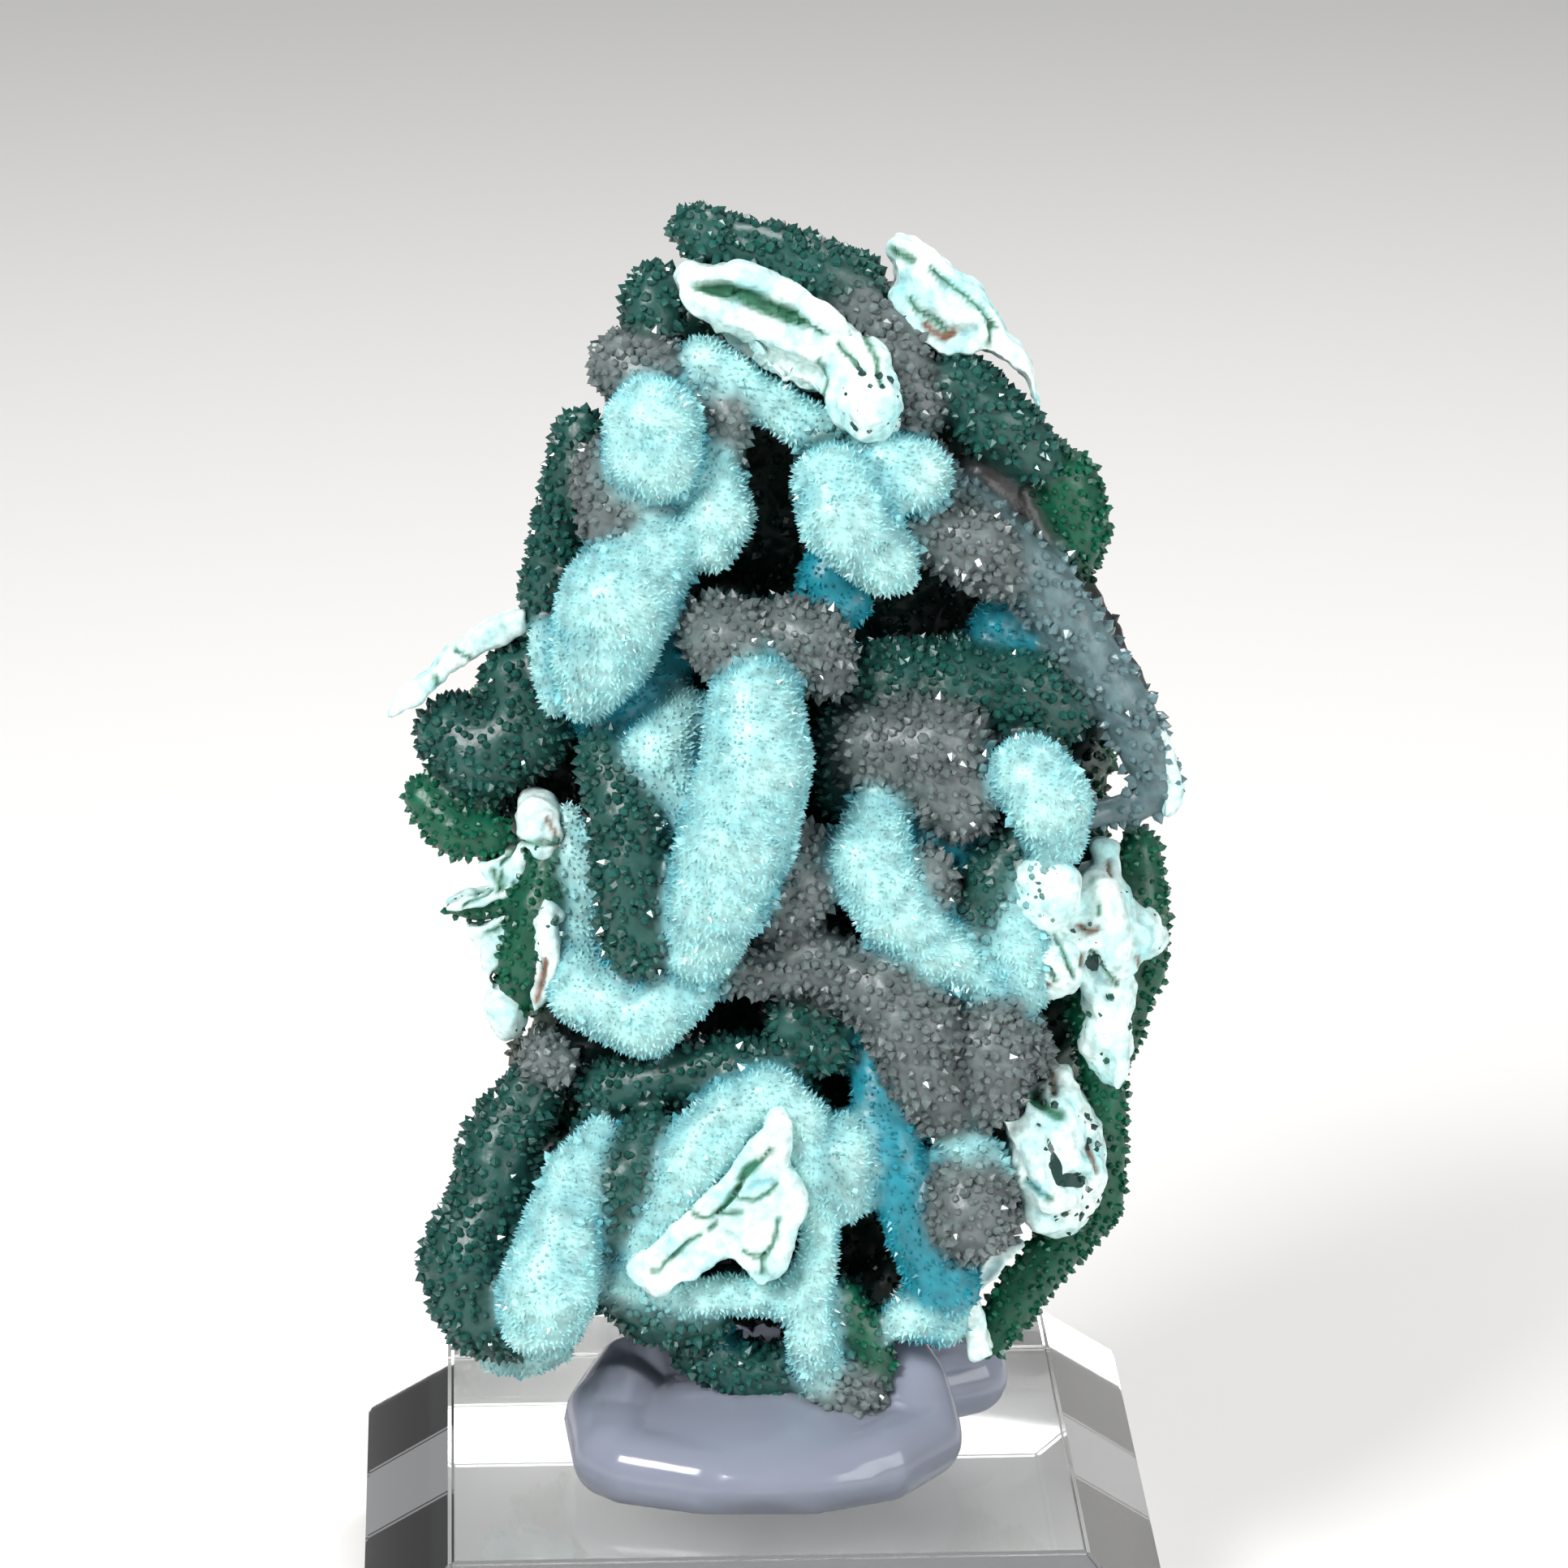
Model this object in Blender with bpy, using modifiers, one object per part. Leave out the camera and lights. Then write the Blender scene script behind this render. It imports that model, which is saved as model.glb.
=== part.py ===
# A specimen of chrysocolla with malachite under drusy quartz. It stands on its tip in a pad of
# mineral tack, and the pad sits on a clear acrylic base with bevelled sides.
#
# World frame: metres, +Z up, the display face looks along -Y, the origin is the centre of the
# base's underside. The specimen is drawn in its own face frame, in millimetres: x to the right,
# z up the face, and "out" towards the viewer, measured from a plane through the lowest tip.

import math
import random

import bmesh
import bpy
from mathutils import Euler, Matrix, Vector, noise

MM = 0.001

# Driving dimensions, in millimetres
BASE_SIDE = 64.0
BASE_HEIGHT = 20.0
BASE_BEVEL = 7.0
BASE_TURN_DEG = 2.5
SPECIMEN_TIP = (0.0, -7.5, 22.3)
SPECIMEN_LEAN_DEG = 10.0
GAP = 0.35

# Mesh density
GROWTH_VOXEL = 0.65
ROCK_VOXEL = 1.0
SPECIMEN_TRIANGLES = 8000
BACK_STARTS = 5.0
BACK_SHARE_KEPT = 0.1
TACK_VOXEL = 0.7
TACK_TRIANGLES = 1100
SMOOTHING = 0.5

# Fingers: distance between the balls and width of the roots behind them, as shares of a radius,
# and how far in front of the rock a finger has to stand to need a root
BALL_SPACING = 0.35
ROOT_SHARE = 0.95
ROOT_FROM = 1.0

# How the surfaces vary, in millimetres: height of the swells and the distance between them.
# The face has a share of that height, and it grows to the full one over a depth behind the face.
ROCK_SWELLS = (2.2, 7.0)
GROWTH_SWELLS = (0.6, 3.0)
FACE_SHARE = 0.35
SWELLS_GROW_FROM = 2.0
SWELLS_GROW_OVER = 6.0
KNOB_RADII = (1.2, 3.0)
KNOB_SUNK = 0.4
KNOB_SEED = 7

# Crystal points over the quartz: how many facets rise, how far as a share of a facet's side, how
# far from a nodule's surface, and the sharpest hollow (in radians) that a facet may lie in
CRYSTAL_SHARE = 0.5
CRYSTAL_RISE = (0.18, 0.42)
CRYSTAL_REACH = 1.2
CRYSTAL_HOLLOW = -0.35
CRYSTAL_SEED = 41

# How far the tack stands off the specimen, and the height up to which the specimen shapes it
PRESS_GROWTH = 0.7
PRESS_TOP = 45.0

# Blue chrysocolla fingers under a thin skin of quartz: stations of (x, z, out, radius)
BLUE_FINGERS = {
    "upper_left_head": [(-8.0, 82.5, 6.5, 3.9), (-8.0, 80.5, 6.5, 3.9)],
    "upper_left_neck": [(-4.0, 79.0, 3.0, 2.6), (-3.0, 75.5, 4.5, 3.0), (-3.5, 73.0, 4.0, 2.2)],
    "left_shoulder": [
        (-4.5, 77.5, 1.0, 2.2),
        (-8.0, 73.0, 4.0, 3.6),
        (-11.0, 68.5, 6.0, 4.7),
        (-12.0, 65.0, 5.0, 4.2),
        (-13.5, 61.0, 3.5, 2.2),
    ],
    "left_drip": [(-17.0, 65.5, 1.0, 1.0), (-16.5, 62.5, 2.5, 1.4), (-16.0, 60.0, 2.5, 0.9)],
    "inner_pool": [(-6.0, 65.5, -1.0, 2.3), (-9.0, 61.0, 0.5, 3.0), (-12.0, 59.0, -0.5, 2.4)],
    "mid_left_lobe": [
        (-6.0, 59.5, 2.0, 2.1),
        (-7.5, 56.5, 3.5, 3.1),
        (-6.0, 52.5, 3.5, 2.7),
        (-6.0, 48.0, 3.0, 1.9),
    ],
    "central_finger": [
        (0.0, 61.0, 7.5, 3.7),
        (0.0, 56.0, 9.0, 4.4),
        (-1.5, 50.5, 9.0, 4.6),
        (-3.0, 45.5, 8.0, 4.0),
        (-4.5, 41.0, 6.0, 2.7),
    ],
    "left_apron": [
        (-14.0, 39.0, 0.5, 1.9),
        (-13.5, 37.0, 2.0, 3.0),
        (-9.0, 35.0, 3.0, 3.1),
        (-5.5, 38.0, 3.5, 2.8),
    ],
    "left_ridge": [
        (-15.0, 51.0, -1.0, 0.9),
        (-14.0, 47.5, 0.0, 1.2),
        (-14.0, 42.5, 0.0, 1.3),
        (-14.5, 39.0, 0.5, 1.4),
    ],
    "right_centre_arm": [
        (9.5, 51.5, 3.5, 2.4),
        (9.0, 48.0, 5.5, 3.5),
        (11.0, 44.0, 5.5, 3.2),
        (14.0, 41.0, 4.5, 2.8),
        (18.0, 38.5, 3.0, 2.3),
    ],
    "right_centre_inner": [(11.0, 50.5, 1.0, 2.6), (14.5, 49.0, 0.5, 2.1), (17.5, 49.5, 0.0, 1.7)],
    "right_lobe": [(21.5, 55.0, 5.0, 3.2), (23.0, 53.0, 5.5, 3.5), (24.0, 49.5, 4.0, 2.2)],
    "upper_middle_lobe": [
        (6.0, 78.0, 6.0, 3.2),
        (7.0, 75.5, 7.0, 3.7),
        (10.0, 72.0, 6.0, 2.7),
        (11.0, 71.0, 5.0, 1.8),
    ],
    "upper_right_lobe": [(10.5, 79.5, 5.0, 2.5), (12.5, 78.5, 5.0, 2.9)],
    "under_slab_apron": [
        (-4.0, 87.0, 2.5, 2.3),
        (-0.5, 85.0, 2.5, 1.9),
        (3.5, 82.5, 2.5, 2.0),
        (8.0, 81.0, 3.0, 1.7),
        (12.0, 80.5, 2.5, 1.4),
    ],
    "small_deep_lobe": [(5.5, 70.0, 0.5, 2.3), (7.0, 68.0, 0.5, 2.2)],
    "right_deep_lobe": [(19.0, 66.0, -2.0, 2.1), (20.5, 64.5, -2.0, 1.8)],
    "lower_column": [
        (8.0, 36.0, 0.0, 1.4),
        (9.0, 31.5, 1.0, 1.8),
        (10.0, 27.5, 2.0, 2.2),
        (11.5, 22.0, 2.5, 2.7),
        (13.5, 17.0, 2.5, 3.0),
        (15.0, 13.0, 2.0, 3.0),
        (14.0, 10.5, 1.5, 2.3),
    ],
    "lower_left_finger": [
        (-12.5, 25.5, 3.0, 1.7),
        (-14.5, 22.5, 5.0, 2.4),
        (-15.5, 18.5, 6.5, 3.2),
        (-16.5, 14.0, 7.5, 4.0),
        (-17.0, 12.0, 7.0, 3.5),
    ],
    "slab_left_ridge": [
        (-2.0, 27.5, 4.5, 2.8),
        (-5.0, 24.0, 5.0, 3.0),
        (-7.0, 20.0, 4.5, 2.8),
        (-9.0, 16.5, 4.0, 2.3),
    ],
    "slab_crown": [
        (-2.0, 27.5, 4.0, 2.6),
        (1.0, 29.0, 4.5, 2.6),
        (3.5, 27.0, 4.5, 2.2),
        (4.5, 22.5, 4.5, 1.7),
        (5.0, 18.0, 4.0, 1.6),
        (4.5, 14.5, 4.0, 1.8),
    ],
    "slab_lower_apron": [
        (-11.0, 14.0, 4.0, 1.8),
        (-6.5, 12.5, 4.0, 1.4),
        (-2.0, 13.0, 4.0, 1.7),
        (2.0, 12.5, 3.5, 1.8),
    ],
    "bottom_finger": [(4.0, 13.5, 3.5, 2.2), (4.5, 9.5, 3.0, 2.2), (5.0, 6.0, 1.5, 2.0)],
    "bottom_pocket": [(-3.0, 8.0, 0.0, 1.2), (-3.0, 6.5, 0.0, 1.0)],
    "right_foot": [(12.0, 10.5, 2.0, 1.9), (15.0, 10.5, 2.0, 2.2)],
    "left_foot": [(-21.0, 6.5, -1.5, 1.3), (-18.5, 6.5, -1.5, 1.5), (-16.0, 7.0, -1.5, 1.2)],
    "right_sheet": [(21.0, 45.5, 3.0, 1.9), (20.5, 41.5, 3.0, 2.7), (21.0, 37.5, 2.5, 2.4)],
    "back_drip": [(-5.0, 62.0, -22.0, 2.2), (-7.0, 56.0, -24.0, 3.0), (-7.5, 50.0, -23.0, 2.4)],
    "back_pool": [(10.0, 38.0, -21.0, 2.6), (5.0, 35.0, -22.5, 3.2), (2.0, 29.0, -21.0, 2.4)],
}

# Nodules and crests covered by coarser quartz over malachite
QUARTZ_NODULES = {
    "top_crest_left": [(-5.0, 97.5, 0.0, 1.7), (-4.0, 97.0, 0.0, 2.2)],
    "top_crest": [
        (-2.5, 96.5, -0.5, 2.0),
        (1.0, 95.5, 0.0, 2.2),
        (5.0, 94.0, 0.0, 2.4),
        (7.5, 93.0, -1.0, 2.6),
    ],
    "top_crest_fall": [
        (7.0, 92.0, 0.0, 1.8),
        (10.0, 90.0, 0.5, 1.9),
        (11.5, 87.0, 1.0, 2.2),
        (12.5, 83.5, 1.5, 2.2),
    ],
    "left_crest": [(-8.0, 92.5, 0.5, 2.2), (-8.0, 91.0, 1.0, 2.4)],
    "pale_upper_left": [(-10.5, 87.0, 2.5, 2.5), (-8.5, 87.0, 3.0, 2.4)],
    "pale_lower_left": [(-11.0, 78.0, 3.5, 3.4), (-10.5, 76.0, 4.0, 3.6)],
    "left_edge_strip": [
        (-14.0, 81.5, -0.5, 1.7),
        (-15.0, 77.0, -0.5, 1.8),
        (-16.0, 72.5, -1.0, 1.9),
        (-17.0, 68.5, -1.0, 1.7),
        (-17.0, 65.5, -1.5, 1.5),
    ],
    "head_collar": [(-4.0, 86.5, 2.5, 1.5), (-2.0, 83.5, 3.5, 1.5), (-2.5, 80.0, 3.0, 1.4)],
    "crown_left": [(-3.0, 66.0, 4.5, 3.1), (-2.0, 65.5, 5.0, 3.3)],
    "crown_right": [(2.5, 66.0, 4.0, 2.8), (4.5, 65.0, 4.5, 3.1), (5.5, 63.0, 4.0, 2.2)],
    "finger_side": [(3.5, 48.5, 4.0, 2.4), (3.0, 46.0, 5.0, 3.2), (2.0, 44.0, 4.5, 2.3)],
    "left_green_finger": [
        (-12.0, 56.0, 2.5, 2.2),
        (-10.0, 52.0, 4.0, 3.2),
        (-9.5, 47.0, 5.0, 3.3),
        (-9.0, 42.0, 5.0, 3.1),
    ],
    "right_mass_upper": [
        (10.0, 61.0, -1.0, 3.6),
        (15.5, 61.0, -1.0, 3.9),
        (21.0, 61.0, -1.5, 3.7),
        (24.0, 59.0, -2.0, 2.6),
    ],
    "right_mass_centre": [(10.0, 56.5, 1.5, 4.0), (14.0, 56.5, 2.5, 4.4), (16.0, 52.5, 3.5, 2.9)],
    "right_mass_left": [(7.5, 57.5, 0.0, 2.8), (7.0, 52.5, 0.0, 2.2)],
    "upper_right_mass": [(14.0, 74.0, 2.0, 2.9), (17.0, 73.0, 2.5, 3.1), (19.0, 71.0, 1.5, 2.7)],
    "small_dark_nodule": [(5.5, 81.0, 3.5, 1.7), (7.0, 80.5, 3.5, 1.7)],
    "ringed_nodule": [(13.5, 47.0, 4.5, 2.1), (13.5, 45.5, 4.5, 2.1)],
    "right_lower_fall": [(21.0, 49.0, 1.5, 2.2), (19.0, 46.0, 2.5, 2.6), (17.5, 42.0, 2.5, 2.3)],
    "sweep_left": [
        (-2.5, 39.0, 3.0, 1.8),
        (0.0, 39.0, 3.0, 2.2),
        (5.0, 40.0, 3.5, 2.6),
        (7.0, 39.0, 3.5, 2.4),
    ],
    "sweep_middle": [
        (7.0, 38.5, 3.5, 2.6),
        (10.5, 37.5, 4.5, 3.3),
        (12.5, 34.5, 5.0, 3.7),
        (13.5, 31.0, 4.5, 3.2),
        (15.0, 27.5, 3.5, 2.2),
    ],
    "sweep_right": [(19.0, 34.5, 4.0, 2.6), (19.0, 32.5, 4.5, 3.0), (18.5, 29.0, 3.5, 2.5)],
    "sweep_right_shoulder": [(20.0, 33.5, 2.5, 2.8), (22.0, 31.5, 1.0, 1.7)],
    "sweep_under": [(3.5, 34.5, 1.0, 2.7), (5.5, 33.0, 1.5, 2.6)],
    "lower_right_ball": [(17.0, 21.0, 4.0, 3.6), (17.0, 19.5, 4.5, 3.7)],
    "lower_right_neck": [(16.5, 25.0, 2.5, 2.2), (17.5, 23.0, 3.0, 2.5)],
    "lower_left_edge": [
        (-18.0, 28.5, -0.5, 2.2),
        (-20.5, 24.5, 0.5, 3.0),
        (-21.0, 20.0, 1.0, 3.2),
        (-23.0, 15.0, 2.0, 3.8),
        (-22.0, 11.5, 2.5, 3.6),
        (-20.0, 9.5, 2.0, 2.3),
    ],
    "between_fingers": [(-8.5, 26.0, 3.5, 1.9), (-10.0, 22.5, 4.5, 2.7), (-11.5, 18.5, 4.0, 2.2)],
    "lower_centre_left": [(-11.0, 13.0, 3.0, 2.2), (-8.0, 11.0, 2.5, 2.6), (-4.5, 10.5, 2.0, 2.3)],
    "bottom_dark": [(-4.5, 7.5, 0.0, 2.2), (-1.0, 5.5, 0.0, 2.3), (2.0, 5.5, 0.0, 2.0)],
    "salt_tip": [(6.5, 4.5, 1.0, 2.9), (7.5, 4.0, 1.0, 3.1)],
    "left_clump": [(-17.0, 31.5, 1.0, 1.8), (-16.0, 31.0, 1.0, 1.7)],
    "crevice_ridge": [
        (-12.5, 28.5, -0.5, 1.9),
        (-6.5, 30.0, 0.5, 2.2),
        (-2.0, 31.0, 1.5, 2.3),
        (2.0, 30.5, 1.5, 2.2),
    ],
    "upper_right_edge": [(16.0, 85.0, 0.0, 2.7), (19.0, 82.0, 0.0, 2.8), (22.0, 79.5, -1.0, 2.2)],
    "plate_inner": [
        (-19.0, 61.5, -2.5, 2.8),
        (-18.0, 57.5, -2.5, 3.2),
        (-22.0, 55.5, -3.0, 3.9),
        (-24.0, 57.0, -3.5, 3.2),
    ],
    "back_crest": [(2.0, 84.0, -13.0, 3.2), (7.0, 78.0, -17.0, 3.8), (12.0, 71.0, -19.0, 3.4)],
    "back_low_mass": [(-14.0, 25.0, -17.0, 3.8), (-10.0, 19.0, -16.0, 4.2), (-4.0, 14.0, -13.0, 3.0)],
}

# Dark malachite rind, the chalcedony wall of the broken rim and the black matrix behind it
RIND_AND_MATRIX = {
    "bottom_wedge": [(7.0, 12.5, 2.0, 1.2), (8.5, 9.5, 2.0, 1.6), (10.0, 6.0, 1.0, 1.3)],
    "far_right_lump": [(24.5, 77.0, -3.0, 2.8), (25.5, 73.5, -3.5, 2.6), (25.0, 70.0, -4.0, 1.9)],
    "rim_wall": [
        (14.0, 78.5, 1.5, 1.3),
        (18.0, 74.5, 1.0, 1.9),
        (22.5, 69.5, 0.0, 2.6),
        (26.5, 64.0, -1.0, 2.2),
        (29.5, 59.0, -2.0, 2.2),
        (32.0, 53.5, -3.0, 1.9),
    ],
    "rim_floor": [(26.5, 50.5, -2.0, 1.3), (29.5, 51.0, -3.0, 1.3), (32.0, 51.5, -3.5, 1.2)],
    "rim_matrix": [
        (18.0, 78.5, -1.5, 1.9),
        (22.5, 71.5, -3.0, 1.7),
        (26.0, 68.0, -4.0, 1.4),
        (28.5, 62.5, -4.5, 1.7),
        (30.0, 60.5, -4.5, 1.2),
    ],
    "right_rind_upper": [
        (30.5, 47.5, -4.0, 1.7),
        (31.0, 42.5, -4.0, 2.1),
        (31.0, 37.5, -4.5, 1.7),
        (29.5, 32.0, -4.5, 1.4),
    ],
    "right_rind_lower": [
        (27.0, 35.0, -2.0, 2.2),
        (28.0, 29.0, -3.0, 1.8),
        (28.0, 23.0, -3.0, 1.7),
        (27.5, 19.0, -3.0, 2.0),
        (24.0, 15.0, -3.0, 2.0),
        (21.0, 11.0, -3.0, 2.0),
        (19.0, 8.0, -3.0, 1.6),
    ],
    "left_plate_foot": [(-26.5, 52.0, -2.5, 1.8), (-24.0, 49.5, -2.0, 2.2), (-21.5, 49.0, -2.0, 1.9)],
    "left_green_mass": [
        (-16.5, 48.5, -1.0, 1.7),
        (-17.0, 44.0, -0.5, 2.2),
        (-18.5, 39.5, -0.5, 2.2),
        (-19.0, 36.5, -1.0, 1.7),
    ],
    "left_spur": [(-24.5, 43.0, -2.5, 0.7), (-22.0, 43.0, -2.0, 1.0), (-19.0, 44.0, -1.5, 1.3)],
}

# Rounded pieces of pale altered chrysocolla and one deep blue ball:
# centre (x, z, out), half sizes (x, z, out), turn in the face in degrees
LUMPS = {
    "blue_ball": ((7.0, 23.0, 3.5), (2.7, 4.5, 3.2), 0.0),
    "pale_ball_upper": ((23.0, 46.5, 4.0), (2.2, 2.0, 2.2), 0.0),
    "pale_ball_lower": ((23.0, 44.5, 3.8), (2.2, 1.9, 2.2), 0.0),
    "right_pale_upper": ((27.0, 42.0, -0.5), (3.1, 4.3, 3.0), -8.0),
    "right_pale_tail": ((28.0, 35.0, -1.5), (1.8, 5.5, 2.4), -6.0),
    "right_pale_bud": ((31.0, 41.0, -2.0), (1.6, 1.8, 1.8), 0.0),
    "right_pale_small": ((23.5, 39.5, 2.0), (2.1, 2.3, 2.4), 0.0),
    "lower_right_pale": ((24.0, 22.5, 0.5), (3.6, 5.1, 4.0), -14.0),
    "lower_right_pale_top": ((23.5, 26.0, 0.5), (2.7, 3.0, 3.2), 0.0),
    "left_pale_knob": ((-20.0, 35.0, -1.5), (1.4, 1.9, 1.8), 20.0),
    "left_shell": ((-16.5, 40.5, 1.0), (0.8, 3.6, 1.8), -14.0),
    "slab_knob": ((9.0, 84.5, 5.5), (2.2, 3.1, 2.8), 0.0),
}

# Broken crusts of pale altered chrysocolla: front face's "out", thickness, and outline (x, z)
SLABS = {
    "top_slab": (4.5, 7.0, [
        (-6.5, 93.5), (-5.0, 95.0), (-2.0, 94.5), (2.0, 94.0), (5.0, 92.0), (8.5, 89.5),
        (10.0, 87.5), (10.0, 82.5), (8.0, 82.0), (6.5, 83.0), (6.0, 86.0), (2.0, 88.5), (-2.0, 90.0),
        (-5.0, 91.5),
    ]),
    "top_slab_under": (3.0, 5.0, [
        (-4.0, 90.5), (0.0, 89.0), (5.0, 87.0), (6.0, 84.0), (3.5, 85.0), (-2.0, 88.0),
    ]),
    "top_right_slab": (0.5, 6.0, [
        (10.5, 96.5), (11.5, 97.0), (13.0, 96.5), (17.0, 93.0), (20.0, 89.5), (21.5, 87.0),
        (22.3, 83.5), (21.0, 86.0), (17.0, 87.5), (14.0, 87.5), (12.5, 89.5), (10.5, 91.5),
    ]),
    "lower_slab": (7.0, 5.0, [
        (2.0, 28.5), (3.0, 26.5), (3.5, 23.5), (4.5, 21.0), (4.5, 18.0), (3.0, 14.5), (1.0, 14.0),
        (-1.0, 16.0), (-3.5, 15.0), (-6.0, 13.5), (-9.0, 14.0), (-10.5, 15.5), (-8.5, 18.0),
        (-4.5, 20.5), (-1.0, 22.5), (0.0, 25.5),
    ]),
    "left_plate_rim": (-0.5, 4.5, [
        (-18.0, 67.5), (-19.0, 65.5), (-22.5, 63.0), (-26.0, 60.0), (-29.0, 58.0), (-29.8, 59.0),
        (-27.5, 61.2), (-25.0, 63.7), (-21.5, 66.0), (-19.0, 68.0),
    ]),
    "left_plate_tip": (-2.0, 3.5, [
        (-30.0, 54.0), (-28.5, 55.0), (-27.0, 52.0), (-27.5, 50.0), (-28.5, 49.5), (-30.0, 52.5),
    ]),
    "left_pale_tongue": (0.0, 4.0, [
        (-18.5, 52.0), (-17.0, 52.5), (-15.5, 51.0), (-15.5, 48.5), (-18.0, 48.0), (-19.0, 49.5),
    ]),
    "left_pale_shards": (-0.8, 4.0, [
        (-22.5, 47.5), (-19.0, 49.0), (-18.0, 44.5), (-21.5, 44.0), (-25.0, 43.2), (-23.0, 44.8),
    ]),
    "left_pale_leg": (-0.8, 4.0, [
        (-21.5, 42.0), (-18.5, 43.0), (-19.0, 40.5), (-20.0, 36.0), (-21.2, 36.5), (-22.0, 38.5),
    ]),
    "right_pale_rim": (-2.0, 4.0, [
        (29.5, 60.0), (31.0, 59.5), (32.5, 57.0), (34.0, 54.0), (33.8, 51.5), (32.5, 50.8),
        (32.5, 53.0), (31.5, 56.0),
    ]),
    "right_pale_strip": (-2.0, 3.5, [
        (17.0, 77.0), (19.0, 77.0), (20.5, 74.0), (26.0, 68.5), (28.0, 64.5), (26.5, 65.0),
        (19.0, 73.5),
    ]),
    "pale_column": (1.5, 4.0, [(15.8, 12.5), (17.8, 12.5), (19.2, 7.5), (17.4, 7.5)]),
    "right_small_sheet": (0.0, 4.0, [
        (21.5, 16.0), (19.5, 13.0), (16.5, 11.5), (18.0, 15.0), (20.0, 16.2),
    ]),
    "lower_right_flake": (-0.8, 3.0, [
        (24.0, 30.5), (25.5, 30.0), (28.2, 25.0), (27.0, 25.0), (24.5, 28.5),
    ]),
    "back_vein": (-17.0, 6.0, [
        (-12.0, 72.0), (-3.0, 69.0), (6.0, 63.0), (14.0, 55.0), (19.0, 46.0), (16.0, 44.0),
        (10.0, 50.0), (3.0, 57.0), (-5.0, 63.0), (-13.0, 68.0),
    ]),
}

# The rock behind the fingers, in three plates from front to back: front's "out", thickness, outline
ROCK_PLATES = {
    "front_plate": (-4.0, 7.0, [
        (-5.5, 96.0), (4.5, 94.5), (10.5, 93.0), (12.5, 94.5), (17.5, 90.0), (21.0, 85.5),
        (21.5, 80.5), (25.5, 77.5), (26.0, 70.0), (29.0, 60.5), (32.0, 54.0), (31.0, 49.5),
        (31.0, 42.0), (29.5, 34.0), (28.0, 27.5), (28.0, 20.0), (23.5, 14.0), (18.0, 8.5),
        (10.5, 7.0), (7.0, 2.5), (0.5, 5.0), (-8.5, 9.0), (-16.5, 8.0), (-24.0, 10.5),
        (-25.0, 15.0), (-22.5, 23.0), (-19.0, 28.0), (-17.0, 31.5), (-19.5, 36.0),
        (-20.5, 40.5), (-21.0, 46.5), (-28.0, 51.5), (-29.0, 57.5), (-24.0, 62.0),
        (-18.0, 66.0), (-16.0, 71.0), (-14.5, 76.5), (-12.0, 85.0), (-8.5, 92.0),
    ]),
    "middle_plate": (-9.0, 8.0, [
        (-4.0, 92.0), (4.0, 92.5), (13.0, 90.0), (19.0, 81.0), (23.0, 71.0), (27.5, 58.0),
        (28.5, 45.0), (26.0, 30.0), (24.0, 18.0), (15.0, 9.0), (5.0, 5.5), (-8.0, 9.0),
        (-20.0, 12.0), (-20.0, 24.0), (-16.0, 34.0), (-18.0, 46.0), (-24.0, 55.0),
        (-17.0, 64.0), (-13.0, 75.0), (-10.0, 86.0),
    ]),
    "back_plate": (-15.0, 7.5, [
        (-2.0, 84.0), (8.0, 84.0), (15.0, 76.0), (20.0, 63.0), (24.0, 50.0), (22.0, 35.0),
        (18.0, 22.0), (9.0, 13.0), (-2.0, 13.0), (-13.0, 19.0), (-12.0, 34.0), (-15.0, 48.0),
        (-14.0, 58.0), (-10.0, 70.0),
    ]),
}

# Hollows in the front plate: centre (x, z, out) and half sizes (x, z, out)
FRONT_HOLLOWS = {
    "gap_beside_neck": ((0.5, 78.5, -3.5), (1.9, 6.5, 4.5)),
    "gap_above_crown": ((-1.0, 71.5, -4.0), (4.5, 2.0, 3.5)),
    "gap_right_of_crown": ((12.0, 67.0, -4.0), (5.0, 2.6, 3.0)),
    "gap_under_sweep": ((6.0, 28.0, -4.0), (2.2, 2.6, 4.0)),
    "gap_over_slab": ((-4.0, 32.5, -4.0), (5.5, 1.6, 3.5)),
    "gap_left_seam": ((-15.2, 58.0, -4.0), (1.0, 4.5, 3.5)),
    "gap_low_centre": ((8.5, 15.5, -4.0), (2.0, 4.5, 3.5)),
    "rim_hollow": ((27.0, 54.0, -4.0), (2.8, 1.9, 3.0)),
    "low_cavity": ((19.5, 26.5, -4.0), (1.6, 2.2, 3.5)),
}

# Hollows in the slabs: the slab, then centre, half sizes and turn in the face in degrees
SLAB_HOLLOWS = {
    "green_lens": ("top_slab", (0.0, 92.6, 5.0), (4.8, 1.0, 1.8), -24.0),
}

# Flat breaks across the back: a point on the break (x, z, out) and the way it faces
BACK_BREAKS = {
    "upper_break": ((4.0, 74.0, -18.5), (-0.2, 0.55, -1.0)),
    "middle_break": ((6.0, 50.0, -22.0), (0.15, 0.1, -1.0)),
    "lower_break": ((4.0, 24.0, -18.0), (0.25, -0.4, -1.0)),
    "left_break": ((-17.0, 44.0, -15.5), (-0.8, 0.1, -0.8)),
    "right_break": ((22.0, 40.0, -17.5), (1.0, -0.1, -0.9)),
}

# Clusters of malachite knobs on the rock: centre (x, z, out), reach and count
KNOB_CLUSTERS = {
    "back_upper_knobs": ((-6.0, 76.0, -14.0), 13.0, 30),
    "back_right_knobs": ((17.0, 60.0, -16.0), 13.0, 34),
    "back_lower_knobs": ((12.0, 18.0, -13.0), 14.0, 34),
    "back_left_knobs": ((-20.0, 30.0, -11.0), 14.0, 30),
    "right_side_knobs": ((29.0, 38.0, -9.0), 16.0, 34),
    "left_side_knobs": ((-22.0, 56.0, -9.0), 12.0, 24),
    "top_side_knobs": ((18.0, 84.0, -8.0), 12.0, 24),
}

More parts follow.
